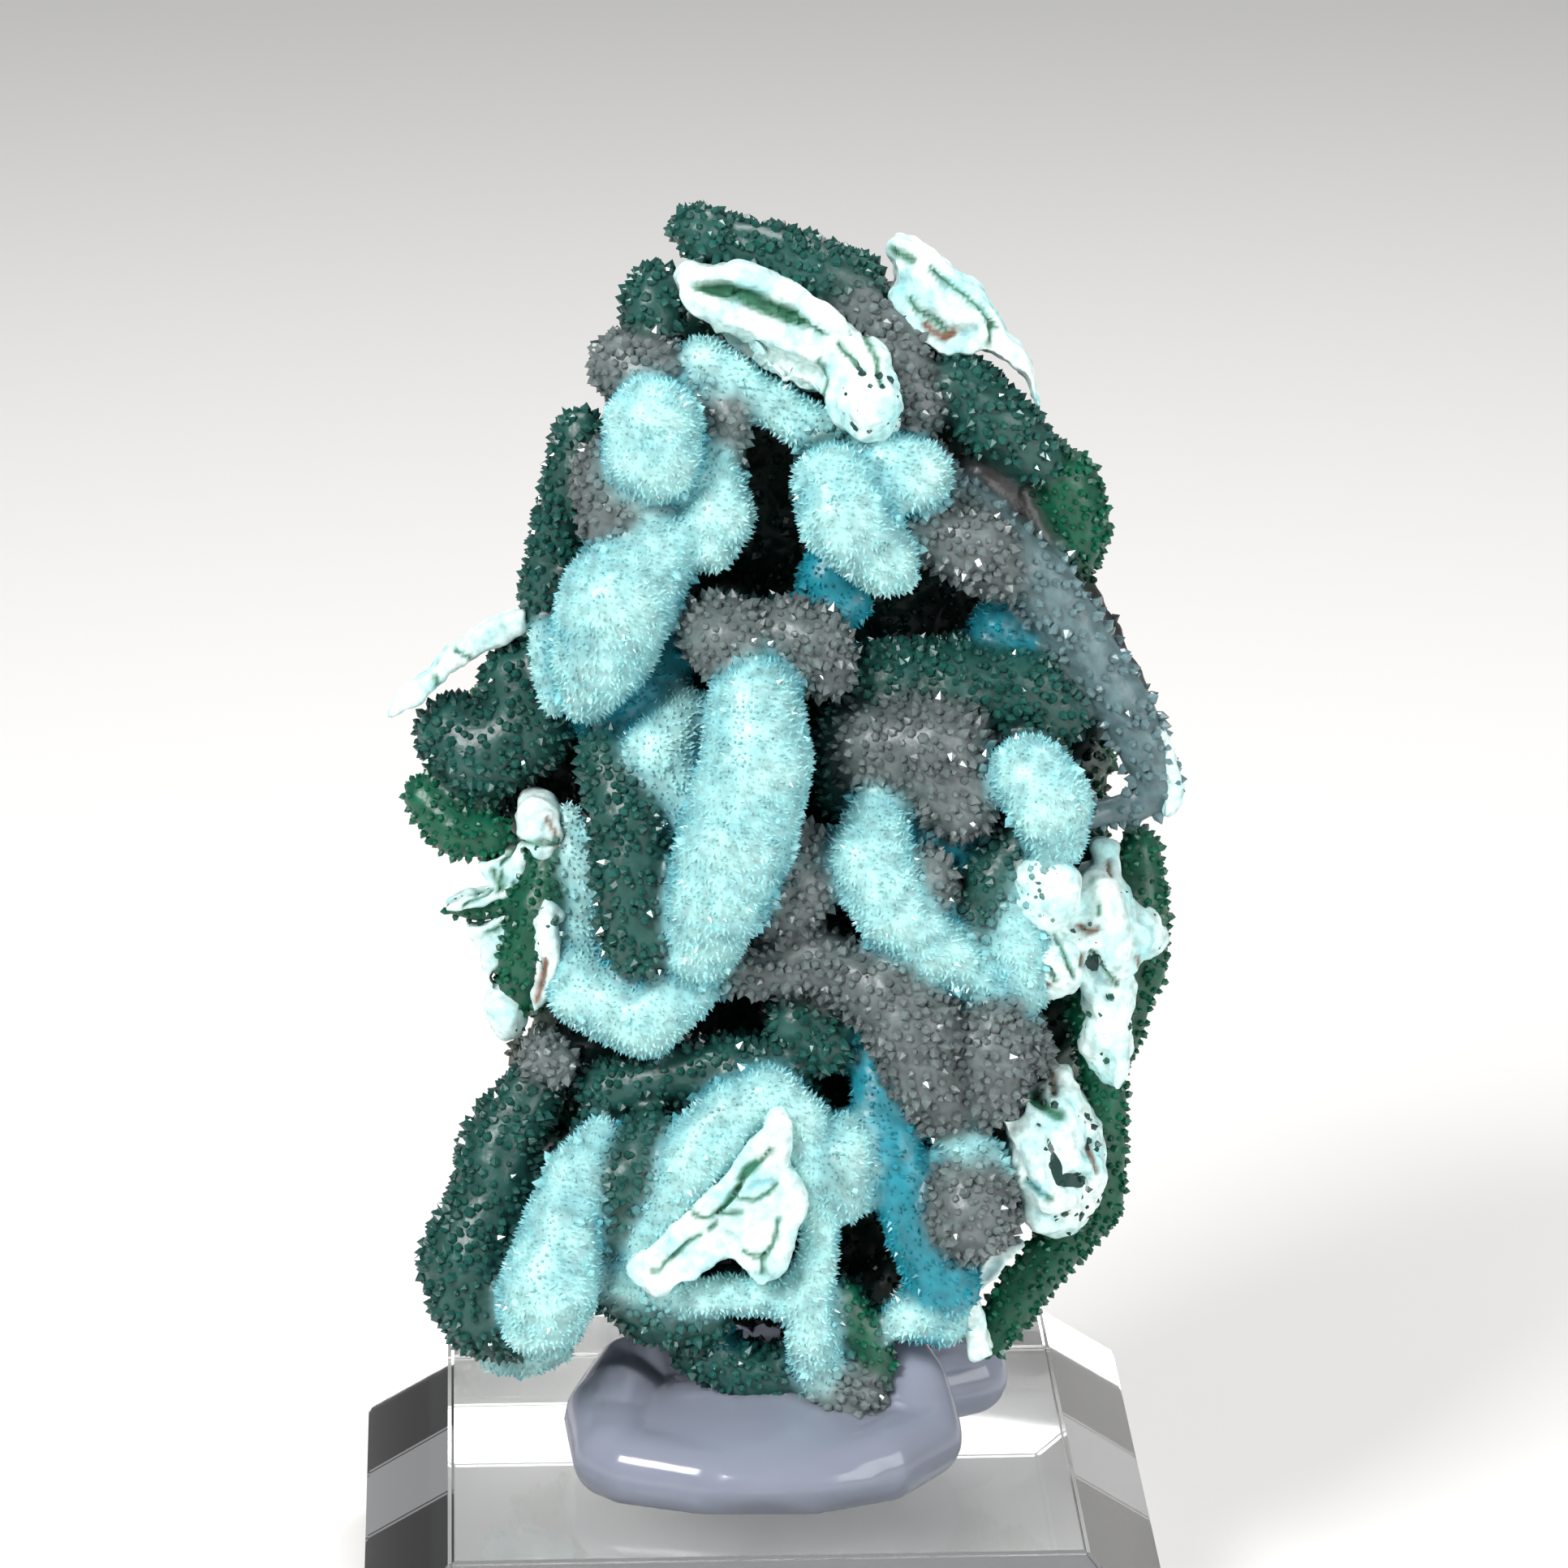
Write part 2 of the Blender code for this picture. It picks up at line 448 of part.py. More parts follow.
# The pad of tack in millimetres from the origin: a flat middle and rolls of (x, y, z, radius)
TACK_MIDDLE = ((0.6, -7.0, 22.0), (15.4, 11.8, 3.7))
TACK_ROLLS = {
    "front_roll": [
        (-10.0, -13.5, 22.6, 3.2),
        (-4.0, -15.3, 22.3, 3.1),
        (4.0, -15.3, 22.3, 3.1),
        (10.0, -13.0, 22.8, 3.3),
        (13.2, -9.0, 23.2, 3.4),
    ],
    "left_roll": [(-11.3, -12.0, 22.9, 3.5), (-11.6, -6.0, 23.6, 4.0), (-10.0, 0.0, 24.6, 3.6)],
    "right_horn": [(13.0, -8.0, 23.6, 3.5), (12.8, -6.0, 26.6, 2.7), (12.2, -4.5, 28.8, 1.7)],
    "side_lobe": [(11.0, 1.0, 23.0, 3.2), (17.3, 3.5, 23.3, 3.3)],
    "back_roll": [(-8.0, 3.0, 23.5, 4.0), (2.0, 6.5, 23.5, 4.4), (10.0, 3.0, 23.5, 3.8)],
}


def clear_scene():
    for obj in list(bpy.data.objects):
        bpy.data.objects.remove(obj, do_unlink=True)


def named_collection(name):
    collection = bpy.data.collections.new(name)
    bpy.context.scene.collection.children.link(collection)
    return collection


def material(name, colour, roughness, metallic=0.0, transmission=0.0, ior=1.5):
    made = bpy.data.materials.new(name)
    made.use_nodes = True
    shader = made.node_tree.nodes["Principled BSDF"]
    shader.inputs["Base Color"].default_value = (*colour, 1.0)
    shader.inputs["Roughness"].default_value = roughness
    shader.inputs["Metallic"].default_value = metallic
    shader.inputs["Transmission Weight"].default_value = transmission
    shader.inputs["IOR"].default_value = ior
    return made


def object_from(bm, name, collection):
    mesh = bpy.data.meshes.new(name)
    bm.to_mesh(mesh)
    bm.free()
    obj = bpy.data.objects.new(name, mesh)
    collection.objects.link(obj)
    return obj


def helper(obj):
    obj.hide_render = True
    obj.display_type = "WIRE"
    return obj


def apply_modifiers(obj):
    graph = bpy.context.evaluated_depsgraph_get()
    mesh = bpy.data.meshes.new_from_object(obj.evaluated_get(graph))
    obj.modifiers.clear()
    obj.data = mesh


def face_point(x, z, out):
    return Vector((x * MM, -out * MM, z * MM))


def ball_at(centre, radii, turn=0.0):
    size = Matrix.Diagonal((*[r * MM for r in radii], 1.0))
    turned = Euler((0.0, -math.radians(turn), 0.0)).to_matrix().to_4x4()
    return Matrix.Translation(centre) @ turned @ size


# A finger is one ball drawn out along its stations, about a third of its radius at a time
def finger_balls(stations, to_point):
    balls = []
    for a, b in zip(stations, stations[1:]):
        start = Vector(a)
        end = Vector(b)
        spacing = BALL_SPACING * min(a[3], b[3])
        steps = max(1, math.ceil((end.xyz - start.xyz).length / spacing))
        for i in range(steps + 1):
            x, z, out, radius = start.lerp(end, i / steps)
            balls.append(ball_at(to_point(x, z, out), (radius, radius, radius)))
    return balls


# The rock that a finger grows from, so that it doesn't stand off the plate behind it
def root_balls(stations):
    plate = ROCK_PLATES["front_plate"][0]
    roots = []
    for x, z, out, radius in stations:
        if out > plate + ROOT_FROM:
            roots.append((x, z, (out + plate) / 2, radius * ROOT_SHARE))
    return finger_balls(roots, face_point)


def lump_ball(centre, half_sizes, turn):
    wide, tall, deep = half_sizes
    return ball_at(face_point(*centre), (wide, deep, tall), turn)


# One mesh holding a copy of the same ball at every placement
def mesh_of_balls(name, placements):
    bm = bmesh.new()
    bmesh.ops.create_icosphere(bm, subdivisions=3, radius=1.0)
    bm.verts.index_update()
    ball = [vertex.co.copy() for vertex in bm.verts]
    sides = [[vertex.index for vertex in face.verts] for face in bm.faces]
    bm.free()
    points = []
    faces = []
    for place in placements:
        first = len(points)
        points.extend(place @ point for point in ball)
        faces.extend([first + i for i in side] for side in sides)
    mesh = bpy.data.meshes.new(name)
    mesh.from_pydata(points, [], faces)
    return mesh


def add_slab(bm, front, thick, outline):
    corners = [bm.verts.new(face_point(x, z, front)) for x, z in outline]
    face = bm.faces.new(corners)
    made = bmesh.ops.extrude_face_region(bm, geom=[face])
    moved = [item for item in made["geom"] if isinstance(item, bmesh.types.BMVert)]
    bmesh.ops.translate(bm, vec=Vector((0.0, thick * MM, 0.0)), verts=moved)
    bmesh.ops.recalc_face_normals(bm, faces=bm.faces)


def cut_with(obj, cutter):
    cut = obj.modifiers.new("cut", "BOOLEAN")
    cut.operation = "DIFFERENCE"
    cut.solver = "EXACT"
    cut.object = helper(cutter)
    apply_modifiers(obj)


def voxel_remesh(obj, size):
    remesh = obj.modifiers.new("remesh", "REMESH")
    remesh.mode = "VOXEL"
    remesh.voxel_size = size * MM
    apply_modifiers(obj)


def smooth(obj, rounds):
    relax = obj.modifiers.new("relax", "SMOOTH")
    relax.factor = SMOOTHING
    relax.iterations = rounds
    apply_modifiers(obj)


def thin_out(obj, triangles):
    triangulate = obj.modifiers.new("triangulate", "TRIANGULATE")
    triangulate.quad_method = "BEAUTY"
    apply_modifiers(obj)
    collapse = obj.modifiers.new("collapse", "DECIMATE")
    collapse.ratio = min(1.0, triangles / len(obj.data.polygons))
    apply_modifiers(obj)


# The back is thinned first and on its own, so that most triangles are left for the face
def thin_out_behind(obj):
    group = obj.vertex_groups.new(name="behind")
    behind = [vertex.index for vertex in obj.data.vertices if vertex.co.y > BACK_STARTS * MM]
    group.add(behind, 1.0, "REPLACE")
    collapse = obj.modifiers.new("collapse_behind", "DECIMATE")
    collapse.vertex_group = group.name
    collapse.ratio = 1.0 - (1.0 - BACK_SHARE_KEPT) * len(behind) / len(obj.data.vertices)
    apply_modifiers(obj)
    obj.vertex_groups.clear()


# A plate or slab with its hollows cut out of it
def carved_plate(name, front, thick, outline, hollows, cutters):
    bm = bmesh.new()
    add_slab(bm, front, thick, outline)
    plate = object_from(bm, name, cutters)
    for hollow, lump in hollows.items():
        cutter = bpy.data.objects.new(hollow, mesh_of_balls(hollow, [lump_ball(*lump)]))
        cutters.objects.link(cutter)
        cut_with(plate, cutter)
    return helper(plate)


def carved_slab(name, cutters):
    hollows = {hollow: rest for hollow, (slab, *rest) in SLAB_HOLLOWS.items() if slab == name}
    return carved_plate(name, *SLABS[name], hollows, cutters)


# Grape-like malachite knobs, sunk in the rock's surface within reach of each cluster's centre
def knob_balls(rock):
    chance = random.Random(KNOB_SEED)
    balls = []
    for centre, reach, count in KNOB_CLUSTERS.values():
        middle = face_point(*centre)
        near = [
            face
            for face in rock.data.polygons
            if (face.center - middle).length < reach * MM and face.center.y > BACK_STARTS * MM
        ]
        for _ in range(count):
            face = chance.choice(near)
            radius = chance.uniform(*KNOB_RADII)
            place = face.center - face.normal * radius * MM * KNOB_SUNK
            balls.append(ball_at(place, (radius, radius, radius)))
    return balls


def break_across(obj, point, facing):
    bm = bmesh.new()
    bm.from_mesh(obj.data)
    geometry = bm.verts[:] + bm.edges[:] + bm.faces[:]
    x, z, out = facing
    normal = Vector((x, -out, z)).normalized()
    cut = bmesh.ops.bisect_plane(
        bm, geom=geometry, plane_co=face_point(*point), plane_no=normal, clear_outer=True
    )
    edges = [item for item in cut["geom_cut"] if isinstance(item, bmesh.types.BMEdge)]
    bmesh.ops.holes_fill(bm, edges=edges, sides=0)
    bmesh.ops.recalc_face_normals(bm, faces=bm.faces)
    bm.to_mesh(obj.data)
    bm.free()


# Small swells and dents over everything, stronger on the rock behind than on the fingers
def roughen(obj, amount, scale):
    mesh = obj.data
    normals = [vertex.normal.copy() for vertex in mesh.vertices]
    for vertex, normal in zip(mesh.vertices, normals):
        place = vertex.co / (scale * MM)
        behind = (vertex.co.y / MM - SWELLS_GROW_FROM) / SWELLS_GROW_OVER
        share = FACE_SHARE + min(1.0, max(0.0, behind))
        vertex.co += normal * noise.fractal(place, 1.0, 2.0, 3) * amount * share * MM


# Facets over the quartz rise to points, so that the solid has the druse's flat faces
def raise_crystals(obj):
    chance = random.Random(CRYSTAL_SEED)
    bm = bmesh.new()
    bm.from_mesh(obj.data)
    stations = [s for finger in QUARTZ_NODULES.values() for s in finger]
    chosen = []
    for face in bm.faces:
        centre = face.calc_center_median()
        near = any(
            (centre - face_point(x, z, out)).length < (radius + CRYSTAL_REACH) * MM
            for x, z, out, radius in stations
        )
        flat_enough = all(
            edge.is_manifold and edge.calc_face_angle_signed() > CRYSTAL_HOLLOW
            for edge in face.edges
        )
        if near and flat_enough and chance.random() < CRYSTAL_SHARE:
            chosen.append(face)
    for face in chosen:
        rise = math.sqrt(face.calc_area()) * chance.uniform(*CRYSTAL_RISE)
        bmesh.ops.poke(bm, faces=[face], offset=rise)
    bm.to_mesh(obj.data)
    bm.free()


def joined(name, meshes, collection):
    bm = bmesh.new()
    for mesh in meshes:
        bm.from_mesh(mesh)
    return object_from(bm, name, collection)


def build_rock(cutters):
    hollows = {name: (*sizes, 0.0) for name, sizes in FRONT_HOLLOWS.items()}
    plates = []
    for name, plate in ROCK_PLATES.items():
        carved = hollows if name == "front_plate" else {}
        plates.append(carved_plate(name, *plate, carved, cutters).data)
    blocks = helper(joined("rock_blocks", plates, cutters))
    voxel_remesh(blocks, ROCK_VOXEL)
    smooth(blocks, 8)
    roughen(blocks, *ROCK_SWELLS)
    for point, facing in BACK_BREAKS.values():
        break_across(blocks, point, facing)
    knobs = mesh_of_balls("knobs", knob_balls(blocks))
    rock = helper(joined("rock", [blocks.data, knobs], cutters))
    voxel_remesh(rock, ROCK_VOXEL)
    return rock


def build_specimen(parts, cutters):
    balls = []
    for group in (BLUE_FINGERS, QUARTZ_NODULES, RIND_AND_MATRIX):
        for stations in group.values():
            balls += finger_balls(stations, face_point) + root_balls(stations)
    balls += [lump_ball(*lump) for lump in LUMPS.values()]
    meshes = [build_rock(cutters).data, mesh_of_balls("fingers", balls)]
    meshes += [carved_slab(name, cutters).data for name in SLABS]
    specimen = joined("specimen", meshes, parts)
    voxel_remesh(specimen, GROWTH_VOXEL)
    smooth(specimen, 2)
    roughen(specimen, *GROWTH_SWELLS)
    thin_out_behind(specimen)
    thin_out(specimen, SPECIMEN_TRIANGLES)
    raise_crystals(specimen)
    specimen.location = [value * MM for value in SPECIMEN_TIP]
    specimen.rotation_euler = (-math.radians(SPECIMEN_LEAN_DEG), 0.0, 0.0)
    specimen.data.materials.append(material("chrysocolla_druse", (0.33, 0.62, 0.65), 0.42))
    return specimen


def build_base(parts):
    bm = bmesh.new()
    bmesh.ops.create_cube(bm, size=1.0)
    size = Matrix.Diagonal((BASE_SIDE * MM, BASE_SIDE * MM, BASE_HEIGHT * MM, 1.0))
    lift = Matrix.Translation((0.0, 0.0, BASE_HEIGHT * MM / 2))
    bmesh.ops.transform(bm, matrix=lift @ size, verts=bm.verts)
    top = [
        edge
        for edge in bm.edges
        if all(vertex.co.z > BASE_HEIGHT * MM / 2 for vertex in edge.verts)
    ]
    bmesh.ops.bevel(
        bm, geom=top, offset=BASE_BEVEL * MM, offset_type="OFFSET", segments=1, affect="EDGES"
    )
    base = object_from(bm, "acrylic_base", parts)
    base.rotation_euler = (0.0, 0.0, math.radians(BASE_TURN_DEG))
    base.data.materials.append(
        material("clear_acrylic", (0.95, 0.95, 0.95), 0.03, transmission=1.0, ior=1.49)
    )
    return base


def world_point(x, y, z):
    return Vector((x * MM, y * MM, z * MM))


# The pad is pressed flat on the base and pushed aside by the specimen, with a thin gap to both
def build_tack(parts, cutters, specimen):
    centre, radii = TACK_MIDDLE
    balls = [ball_at(world_point(*centre), radii)]
    for stations in TACK_ROLLS.values():
        balls += finger_balls(stations, world_point)
    tack = joined("mineral_tack", [mesh_of_balls("rolls", balls)], parts)
    voxel_remesh(tack, TACK_VOXEL)
    smooth(tack, 10)
    cut_with(tack, tack_press(cutters, specimen))
    voxel_remesh(tack, TACK_VOXEL)
    thin_out(tack, TACK_TRIANGLES)
    cut_with(tack, block_under_tack(cutters))
    tack.data.materials.append(
        material("translucent_tack", (0.55, 0.57, 0.70), 0.15, transmission=0.4, ior=1.45)
    )
    return tack


def block_under_tack(cutters):
    bm = bmesh.new()
    bmesh.ops.create_cube(bm, size=1.0)
    size = Matrix.Diagonal((BASE_SIDE * MM, BASE_SIDE * MM, BASE_HEIGHT * MM, 1.0))
    lift = Matrix.Translation((0.0, 0.0, (BASE_HEIGHT / 2 + GAP) * MM))
    bmesh.ops.transform(bm, matrix=lift @ size, verts=bm.verts)
    return object_from(bm, "under_tack", cutters)


# The specimen's low end, swollen a little, shapes the tack around it
def tack_press(cutters, specimen):
    bm = bmesh.new()
    bm.from_mesh(specimen.data)
    bmesh.ops.transform(bm, matrix=specimen.matrix_basis, verts=bm.verts)
    low_end = bmesh.ops.bisect_plane(
        bm,
        geom=bm.verts[:] + bm.edges[:] + bm.faces[:],
        plane_co=(0.0, 0.0, PRESS_TOP * MM),
        plane_no=(0.0, 0.0, 1.0),
        clear_outer=True,
    )
    edges = [item for item in low_end["geom_cut"] if isinstance(item, bmesh.types.BMEdge)]
    bmesh.ops.holes_fill(bm, edges=edges, sides=0)
    press = object_from(bm, "tack_press", cutters)
    voxel_remesh(press, TACK_VOXEL)
    grow = press.modifiers.new("grow", "DISPLACE")
    grow.strength = PRESS_GROWTH * MM
    grow.mid_level = 0.0
    apply_modifiers(press)
    voxel_remesh(press, TACK_VOXEL)
    return press


clear_scene()
part_objects = named_collection("chrysocolla_specimen")
helper_objects = named_collection("cutters")
build_base(part_objects)
build_tack(part_objects, helper_objects, build_specimen(part_objects, helper_objects))
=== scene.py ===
import math
import bmesh
import bpy
import numpy as np
from mathutils import Euler, Matrix, Vector, noise


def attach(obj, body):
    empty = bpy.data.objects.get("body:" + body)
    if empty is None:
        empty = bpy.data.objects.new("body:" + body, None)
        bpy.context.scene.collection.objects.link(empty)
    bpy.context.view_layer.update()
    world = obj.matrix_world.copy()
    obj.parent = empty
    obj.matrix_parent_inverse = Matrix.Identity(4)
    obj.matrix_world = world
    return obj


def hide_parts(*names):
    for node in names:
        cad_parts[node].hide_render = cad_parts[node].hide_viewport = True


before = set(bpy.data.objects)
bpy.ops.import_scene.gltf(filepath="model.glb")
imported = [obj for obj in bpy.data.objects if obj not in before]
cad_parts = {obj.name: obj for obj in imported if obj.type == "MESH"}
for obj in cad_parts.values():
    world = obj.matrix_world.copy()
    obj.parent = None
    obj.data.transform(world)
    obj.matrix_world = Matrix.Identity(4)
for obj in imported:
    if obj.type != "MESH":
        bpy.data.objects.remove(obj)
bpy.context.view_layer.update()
mm = 0.001

# The specimen stands on its tip and leans back. Its face has x to the right, z up and "out"
# towards the viewer, in mm from the tip.
specimenTip = (0.0, -7.5, 22.3)
leanDegrees = 10.0
leanBack = Euler((-math.radians(leanDegrees), 0, 0)).to_matrix().to_4x4()
toWorld = Matrix.Translation(Vector(specimenTip) * mm) @ leanBack

# The photograph's camera: place in mm, pitch in degrees, focal length and middle in its pixels
photoCamera = {"place": (2.2, -547.8, 257.0), "pitch": 18.33, "focal": 8977.0, "middle": 966}

# Growths by mineral, most as traced on the photograph: stations of (pixel across, pixel
# down, out in mm, radius in pixels). upperLeftHead, upperLeftNeck, topCrestLeft, topCrest, leftSpur
# and leftFoot aren't pure traces: some of their pixels were fitted to sizes in mm set before.
tracedGrowths = {
    "blue": {
        "upperLeftHead": [(808, 528, 6.5, 61), (806, 556, 6.5, 61)],
        "upperLeftNeck": [(868, 576, 3, 41), (885, 630, 4.5, 47), (880, 668, 4, 34)],
        "leftShoulder": [
            (858, 600, 1, 34), (805, 672, 4, 56), (756, 745, 6, 74), (742, 800, 5, 66), (718, 858, 3.5, 34),
        ],
        "midLeftLobe": [(838, 878, 2, 32), (818, 925, 3.5, 48), (835, 990, 3.5, 42), (842, 1055, 3, 30)],
        "centralFinger": [
            (932, 865, 7.5, 58), (928, 945, 9, 70), (906, 1035, 9, 72), (884, 1105, 8, 62),
            (858, 1168, 6, 42),
        ],
        "leftApron": [(712, 1185, 0.5, 30), (722, 1225, 2, 46), (790, 1258, 3, 48), (850, 1215, 3.5, 44)],
        "rightCentreArm": [
            (1078, 1000, 3.5, 38), (1075, 1065, 5.5, 54), (1100, 1125, 5.5, 50), (1150, 1170, 4.5, 44),
            (1215, 1205, 3, 36),
        ],
        "rightLobe": [(1270, 955, 5, 50), (1290, 985, 5.5, 54), (1308, 1035, 4, 34)],
        "upperMiddleLobe": [(1022, 598, 6, 50), (1045, 640, 7, 58), (1085, 690, 6, 42), (1105, 705, 5, 28)],
        "upperRightLobe": [(1100, 575, 5, 40), (1125, 590, 5, 46)],
        "underSlabApron": [
            (870, 448, 2.5, 36), (925, 480, 2.5, 30), (985, 520, 2.5, 32), (1060, 545, 3, 26),
            (1120, 550, 2.5, 22),
        ],
        "lowerLeftFinger": [
            (738, 1400, 3, 26), (708, 1450, 5, 38), (690, 1520, 6.5, 50), (674, 1590, 7.5, 62),
            (668, 1620, 7, 54),
        ],
        "slabLeftRidge": [(900, 1375, 4.5, 44), (858, 1430, 5, 46), (820, 1490, 4.5, 44), (790, 1540, 4, 36)],
        "slabCrown": [
            (900, 1375, 4, 40), (945, 1350, 4.5, 40), (985, 1385, 4.5, 34), (1002, 1450, 4.5, 26),
            (1006, 1520, 4, 24), (1000, 1570, 4, 28),
        ],
    },
    "deep": {
        "innerPool": [(842, 780, -1, 36), (795, 848, 0.5, 46), (742, 882, -0.5, 38)],
        "rightCentreInner": [(1105, 1010, 1, 40), (1160, 1035, 0.5, 32), (1205, 1025, 0, 26)],
        "smallDeepLobe": [(1018, 710, 0.5, 36), (1040, 745, 0.5, 34)],
        "rightDeepLobe": [(1230, 765, -2, 32), (1250, 790, -2, 28)],
        "lowerColumn": [
            (1058, 1235, 0, 22), (1072, 1300, 1, 28), (1088, 1370, 2, 34), (1108, 1450, 2.5, 42),
            (1140, 1530, 2.5, 46), (1165, 1590, 2, 46), (1150, 1625, 1.5, 36),
        ],
        "bottomPocket": [(888, 1655, 0, 18), (884, 1675, 0, 16)],
    },
    "ice": {
        "leftDrip": [(668, 785, 1, 16), (672, 835, 2.5, 22), (682, 874, 2.5, 14)],
        "leftRidge": [(700, 1000, -1, 14), (716, 1060, 0, 18), (716, 1130, 0, 20), (706, 1185, 0.5, 22)],
        "bottomFinger": [(990, 1585, 3.5, 34), (1000, 1640, 3, 34), (1008, 1690, 1.5, 30)],
        "rightFoot": [(1120, 1625, 2, 30), (1165, 1625, 2, 34)],
        "leftFoot": [(615, 1672, -1.5, 20), (650, 1676, -1.5, 23), (690, 1668, -1.5, 18)],
        "rightSheet": [(1262, 1095, 3, 30), (1252, 1160, 3, 42), (1258, 1215, 2.5, 38)],
        "slabLowerApron": [(760, 1575, 4, 28), (830, 1600, 4, 22), (900, 1590, 4, 26), (960, 1600, 3.5, 28)],
        "lowerRightNeck": [(1190, 1405, 2.5, 34), (1205, 1435, 3, 38)],
    },
    "grey": {
        "topCrestFall": [(1040, 370, 0, 28), (1085, 400, 0.5, 30), (1115, 450, 1, 34), (1128, 500, 1.5, 34)],
        "paleUpperLeft": [(770, 452, 2.5, 40), (795, 450, 3, 38)],
        "paleLowerLeft": [(762, 595, 3.5, 54), (768, 622, 4, 56)],
        "headCollar": [(868, 458, 2.5, 24), (900, 510, 3.5, 24), (895, 560, 3, 22)],
        "crownLeft": [(885, 780, 4.5, 48), (898, 790, 5, 52)],
        "crownRight": [(968, 782, 4, 44), (1003, 800, 4.5, 48), (1018, 830, 4, 34)],
        "fingerSide": [(985, 1050, 4, 38), (975, 1090, 5, 50), (962, 1120, 4.5, 36)],
        "rightMassCentre": [(1090, 925, 1.5, 62), (1150, 925, 2.5, 68), (1185, 985, 3.5, 46)],
        "upperRightMass": [(1150, 655, 2, 46), (1195, 672, 2.5, 48), (1225, 700, 1.5, 42)],
        "ringedNodule": [(1142, 1078, 4.5, 32), (1145, 1100, 4.5, 32)],
        "sweepLeft": [(890, 1195, 3, 28), (935, 1195, 3, 34), (1010, 1180, 3.5, 40), (1040, 1195, 3.5, 38)],
        "sweepMiddle": [
            (1040, 1200, 3.5, 40), (1095, 1225, 4.5, 52), (1130, 1270, 5, 58), (1145, 1320, 4.5, 50),
            (1165, 1370, 3.5, 34),
        ],
        "sweepRight": [(1228, 1265, 4, 40), (1228, 1300, 4.5, 46), (1222, 1345, 3.5, 38)],
        "sweepRightShoulder": [(1240, 1275, 2.5, 44), (1275, 1300, 1, 26)],
        "lowerRightBall": [(1198, 1475, 4, 56), (1196, 1495, 4.5, 58)],
        "saltTip": [(1035, 1712, 1, 44), (1048, 1722, 1, 48)],
        "leftClump": [(670, 1305, 1, 28), (682, 1312, 1, 26)],
    },
    "teal": {
        "topCrestLeft": [(850, 280, 0, 26), (866, 290, 0, 34)],
        "topCrest": [(890, 300, -0.5, 32), (950, 310, 0, 34), (1010, 335, 0, 38), (1050, 351, -1, 40)],
        "leftCrest": [(805, 362, 0.5, 34), (806, 385, 1, 38)],
        "leftEdgeStrip": [
            (716, 530, -0.5, 26), (700, 600, -0.5, 28), (680, 670, -1, 30), (668, 730, -1, 26),
            (672, 780, -1.5, 24),
        ],
        "leftGreenFinger": [(742, 935, 2.5, 34), (772, 1000, 4, 50), (785, 1075, 5, 52), (792, 1150, 5, 48)],
        "rightMassUpper": [
            (1085, 850, -1, 56), (1170, 850, -1, 60), (1260, 850, -1.5, 58), (1300, 880, -2, 40),
        ],
        "rightMassLeft": [(1050, 900, 0, 44), (1040, 980, 0, 34)],
        "smallDarkNodule": [(1018, 548, 3.5, 26), (1045, 552, 3.5, 26)],
        "rightLowerFall": [(1255, 1035, 1.5, 34), (1225, 1085, 2.5, 40), (1205, 1150, 2.5, 36)],
        "sweepUnder": [(985, 1255, 1, 42), (1020, 1285, 1.5, 40)],
        "lowerLeftEdge": [
            (655, 1345, -0.5, 34), (620, 1410, 0.5, 46), (608, 1480, 1, 50), (580, 1560, 2, 58),
            (590, 1610, 2.5, 56), (625, 1640, 2, 36),
        ],
        "betweenFingers": [(800, 1395, 3.5, 30), (780, 1450, 4.5, 42), (755, 1510, 4, 34)],
        "lowerCentreLeft": [(765, 1590, 3, 34), (805, 1620, 2.5, 40), (865, 1625, 2, 36)],
        "bottomDark": [(860, 1665, 0, 34), (920, 1690, 0, 36), (965, 1690, 0, 30)],
        "creviceRidge": [
            (740, 1345, -0.5, 30), (830, 1325, 0.5, 34), (900, 1315, 1.5, 36), (960, 1318, 1.5, 34),
        ],
        "upperRightEdge": [(1185, 475, 0, 42), (1230, 525, 0, 44), (1275, 560, -1, 34)],
        "plateInner": [(640, 840, -2.5, 44), (650, 900, -2.5, 50), (590, 930, -3, 60), (560, 900, -3.5, 50)],
    },
    "green": {
        "bottomWedge": [(1040, 1598, 2, 18), (1066, 1640, 2, 24), (1085, 1685, 1, 20)],
        "farRightLump": [(1310, 600, -3, 44), (1325, 650, -3.5, 40), (1322, 705, -4, 30)],
        "rightRindUpper": [
            (1400, 1045, -4, 26), (1408, 1120, -4, 32), (1405, 1200, -4.5, 26), (1385, 1280, -4.5, 22),
        ],
        "rightRindLower": [
            (1345, 1240, -2, 34), (1362, 1330, -3, 28), (1360, 1420, -3, 26), (1350, 1480, -3, 30),
            (1300, 1540, -3, 30), (1255, 1600, -3, 30), (1225, 1645, -3, 24),
        ],
        "leftPlateFoot": [(520, 985, -2.5, 28), (560, 1020, -2, 34), (600, 1030, -2, 30)],
        "leftGreenMass": [
            (678, 1040, -1, 26), (668, 1110, -0.5, 34), (650, 1180, -0.5, 34), (640, 1225, -1, 26),
        ],
        "leftSpur": [(552, 1122, -2.5, 11), (590, 1118, -2, 16), (640, 1108, -1.5, 20)],
    },
    "chalcedony": {
        "rimWall": [
            (1150, 585, 1.5, 20), (1215, 645, 1, 30), (1285, 720, 0, 40), (1340, 800, -1, 34),
            (1385, 880, -2, 34), (1425, 955, -3, 30),
        ],
        "rimFloor": [(1345, 1010, -2, 20), (1390, 1000, -3, 20), (1425, 985, -3.5, 18)],
    },
    "matrix": {
        "rimMatrix": [
            (1215, 575, -1.5, 30), (1280, 680, -3, 26), (1330, 735, -4, 22), (1375, 820, -4.5, 26),
            (1395, 850, -4.5, 18),
        ],
    },
}
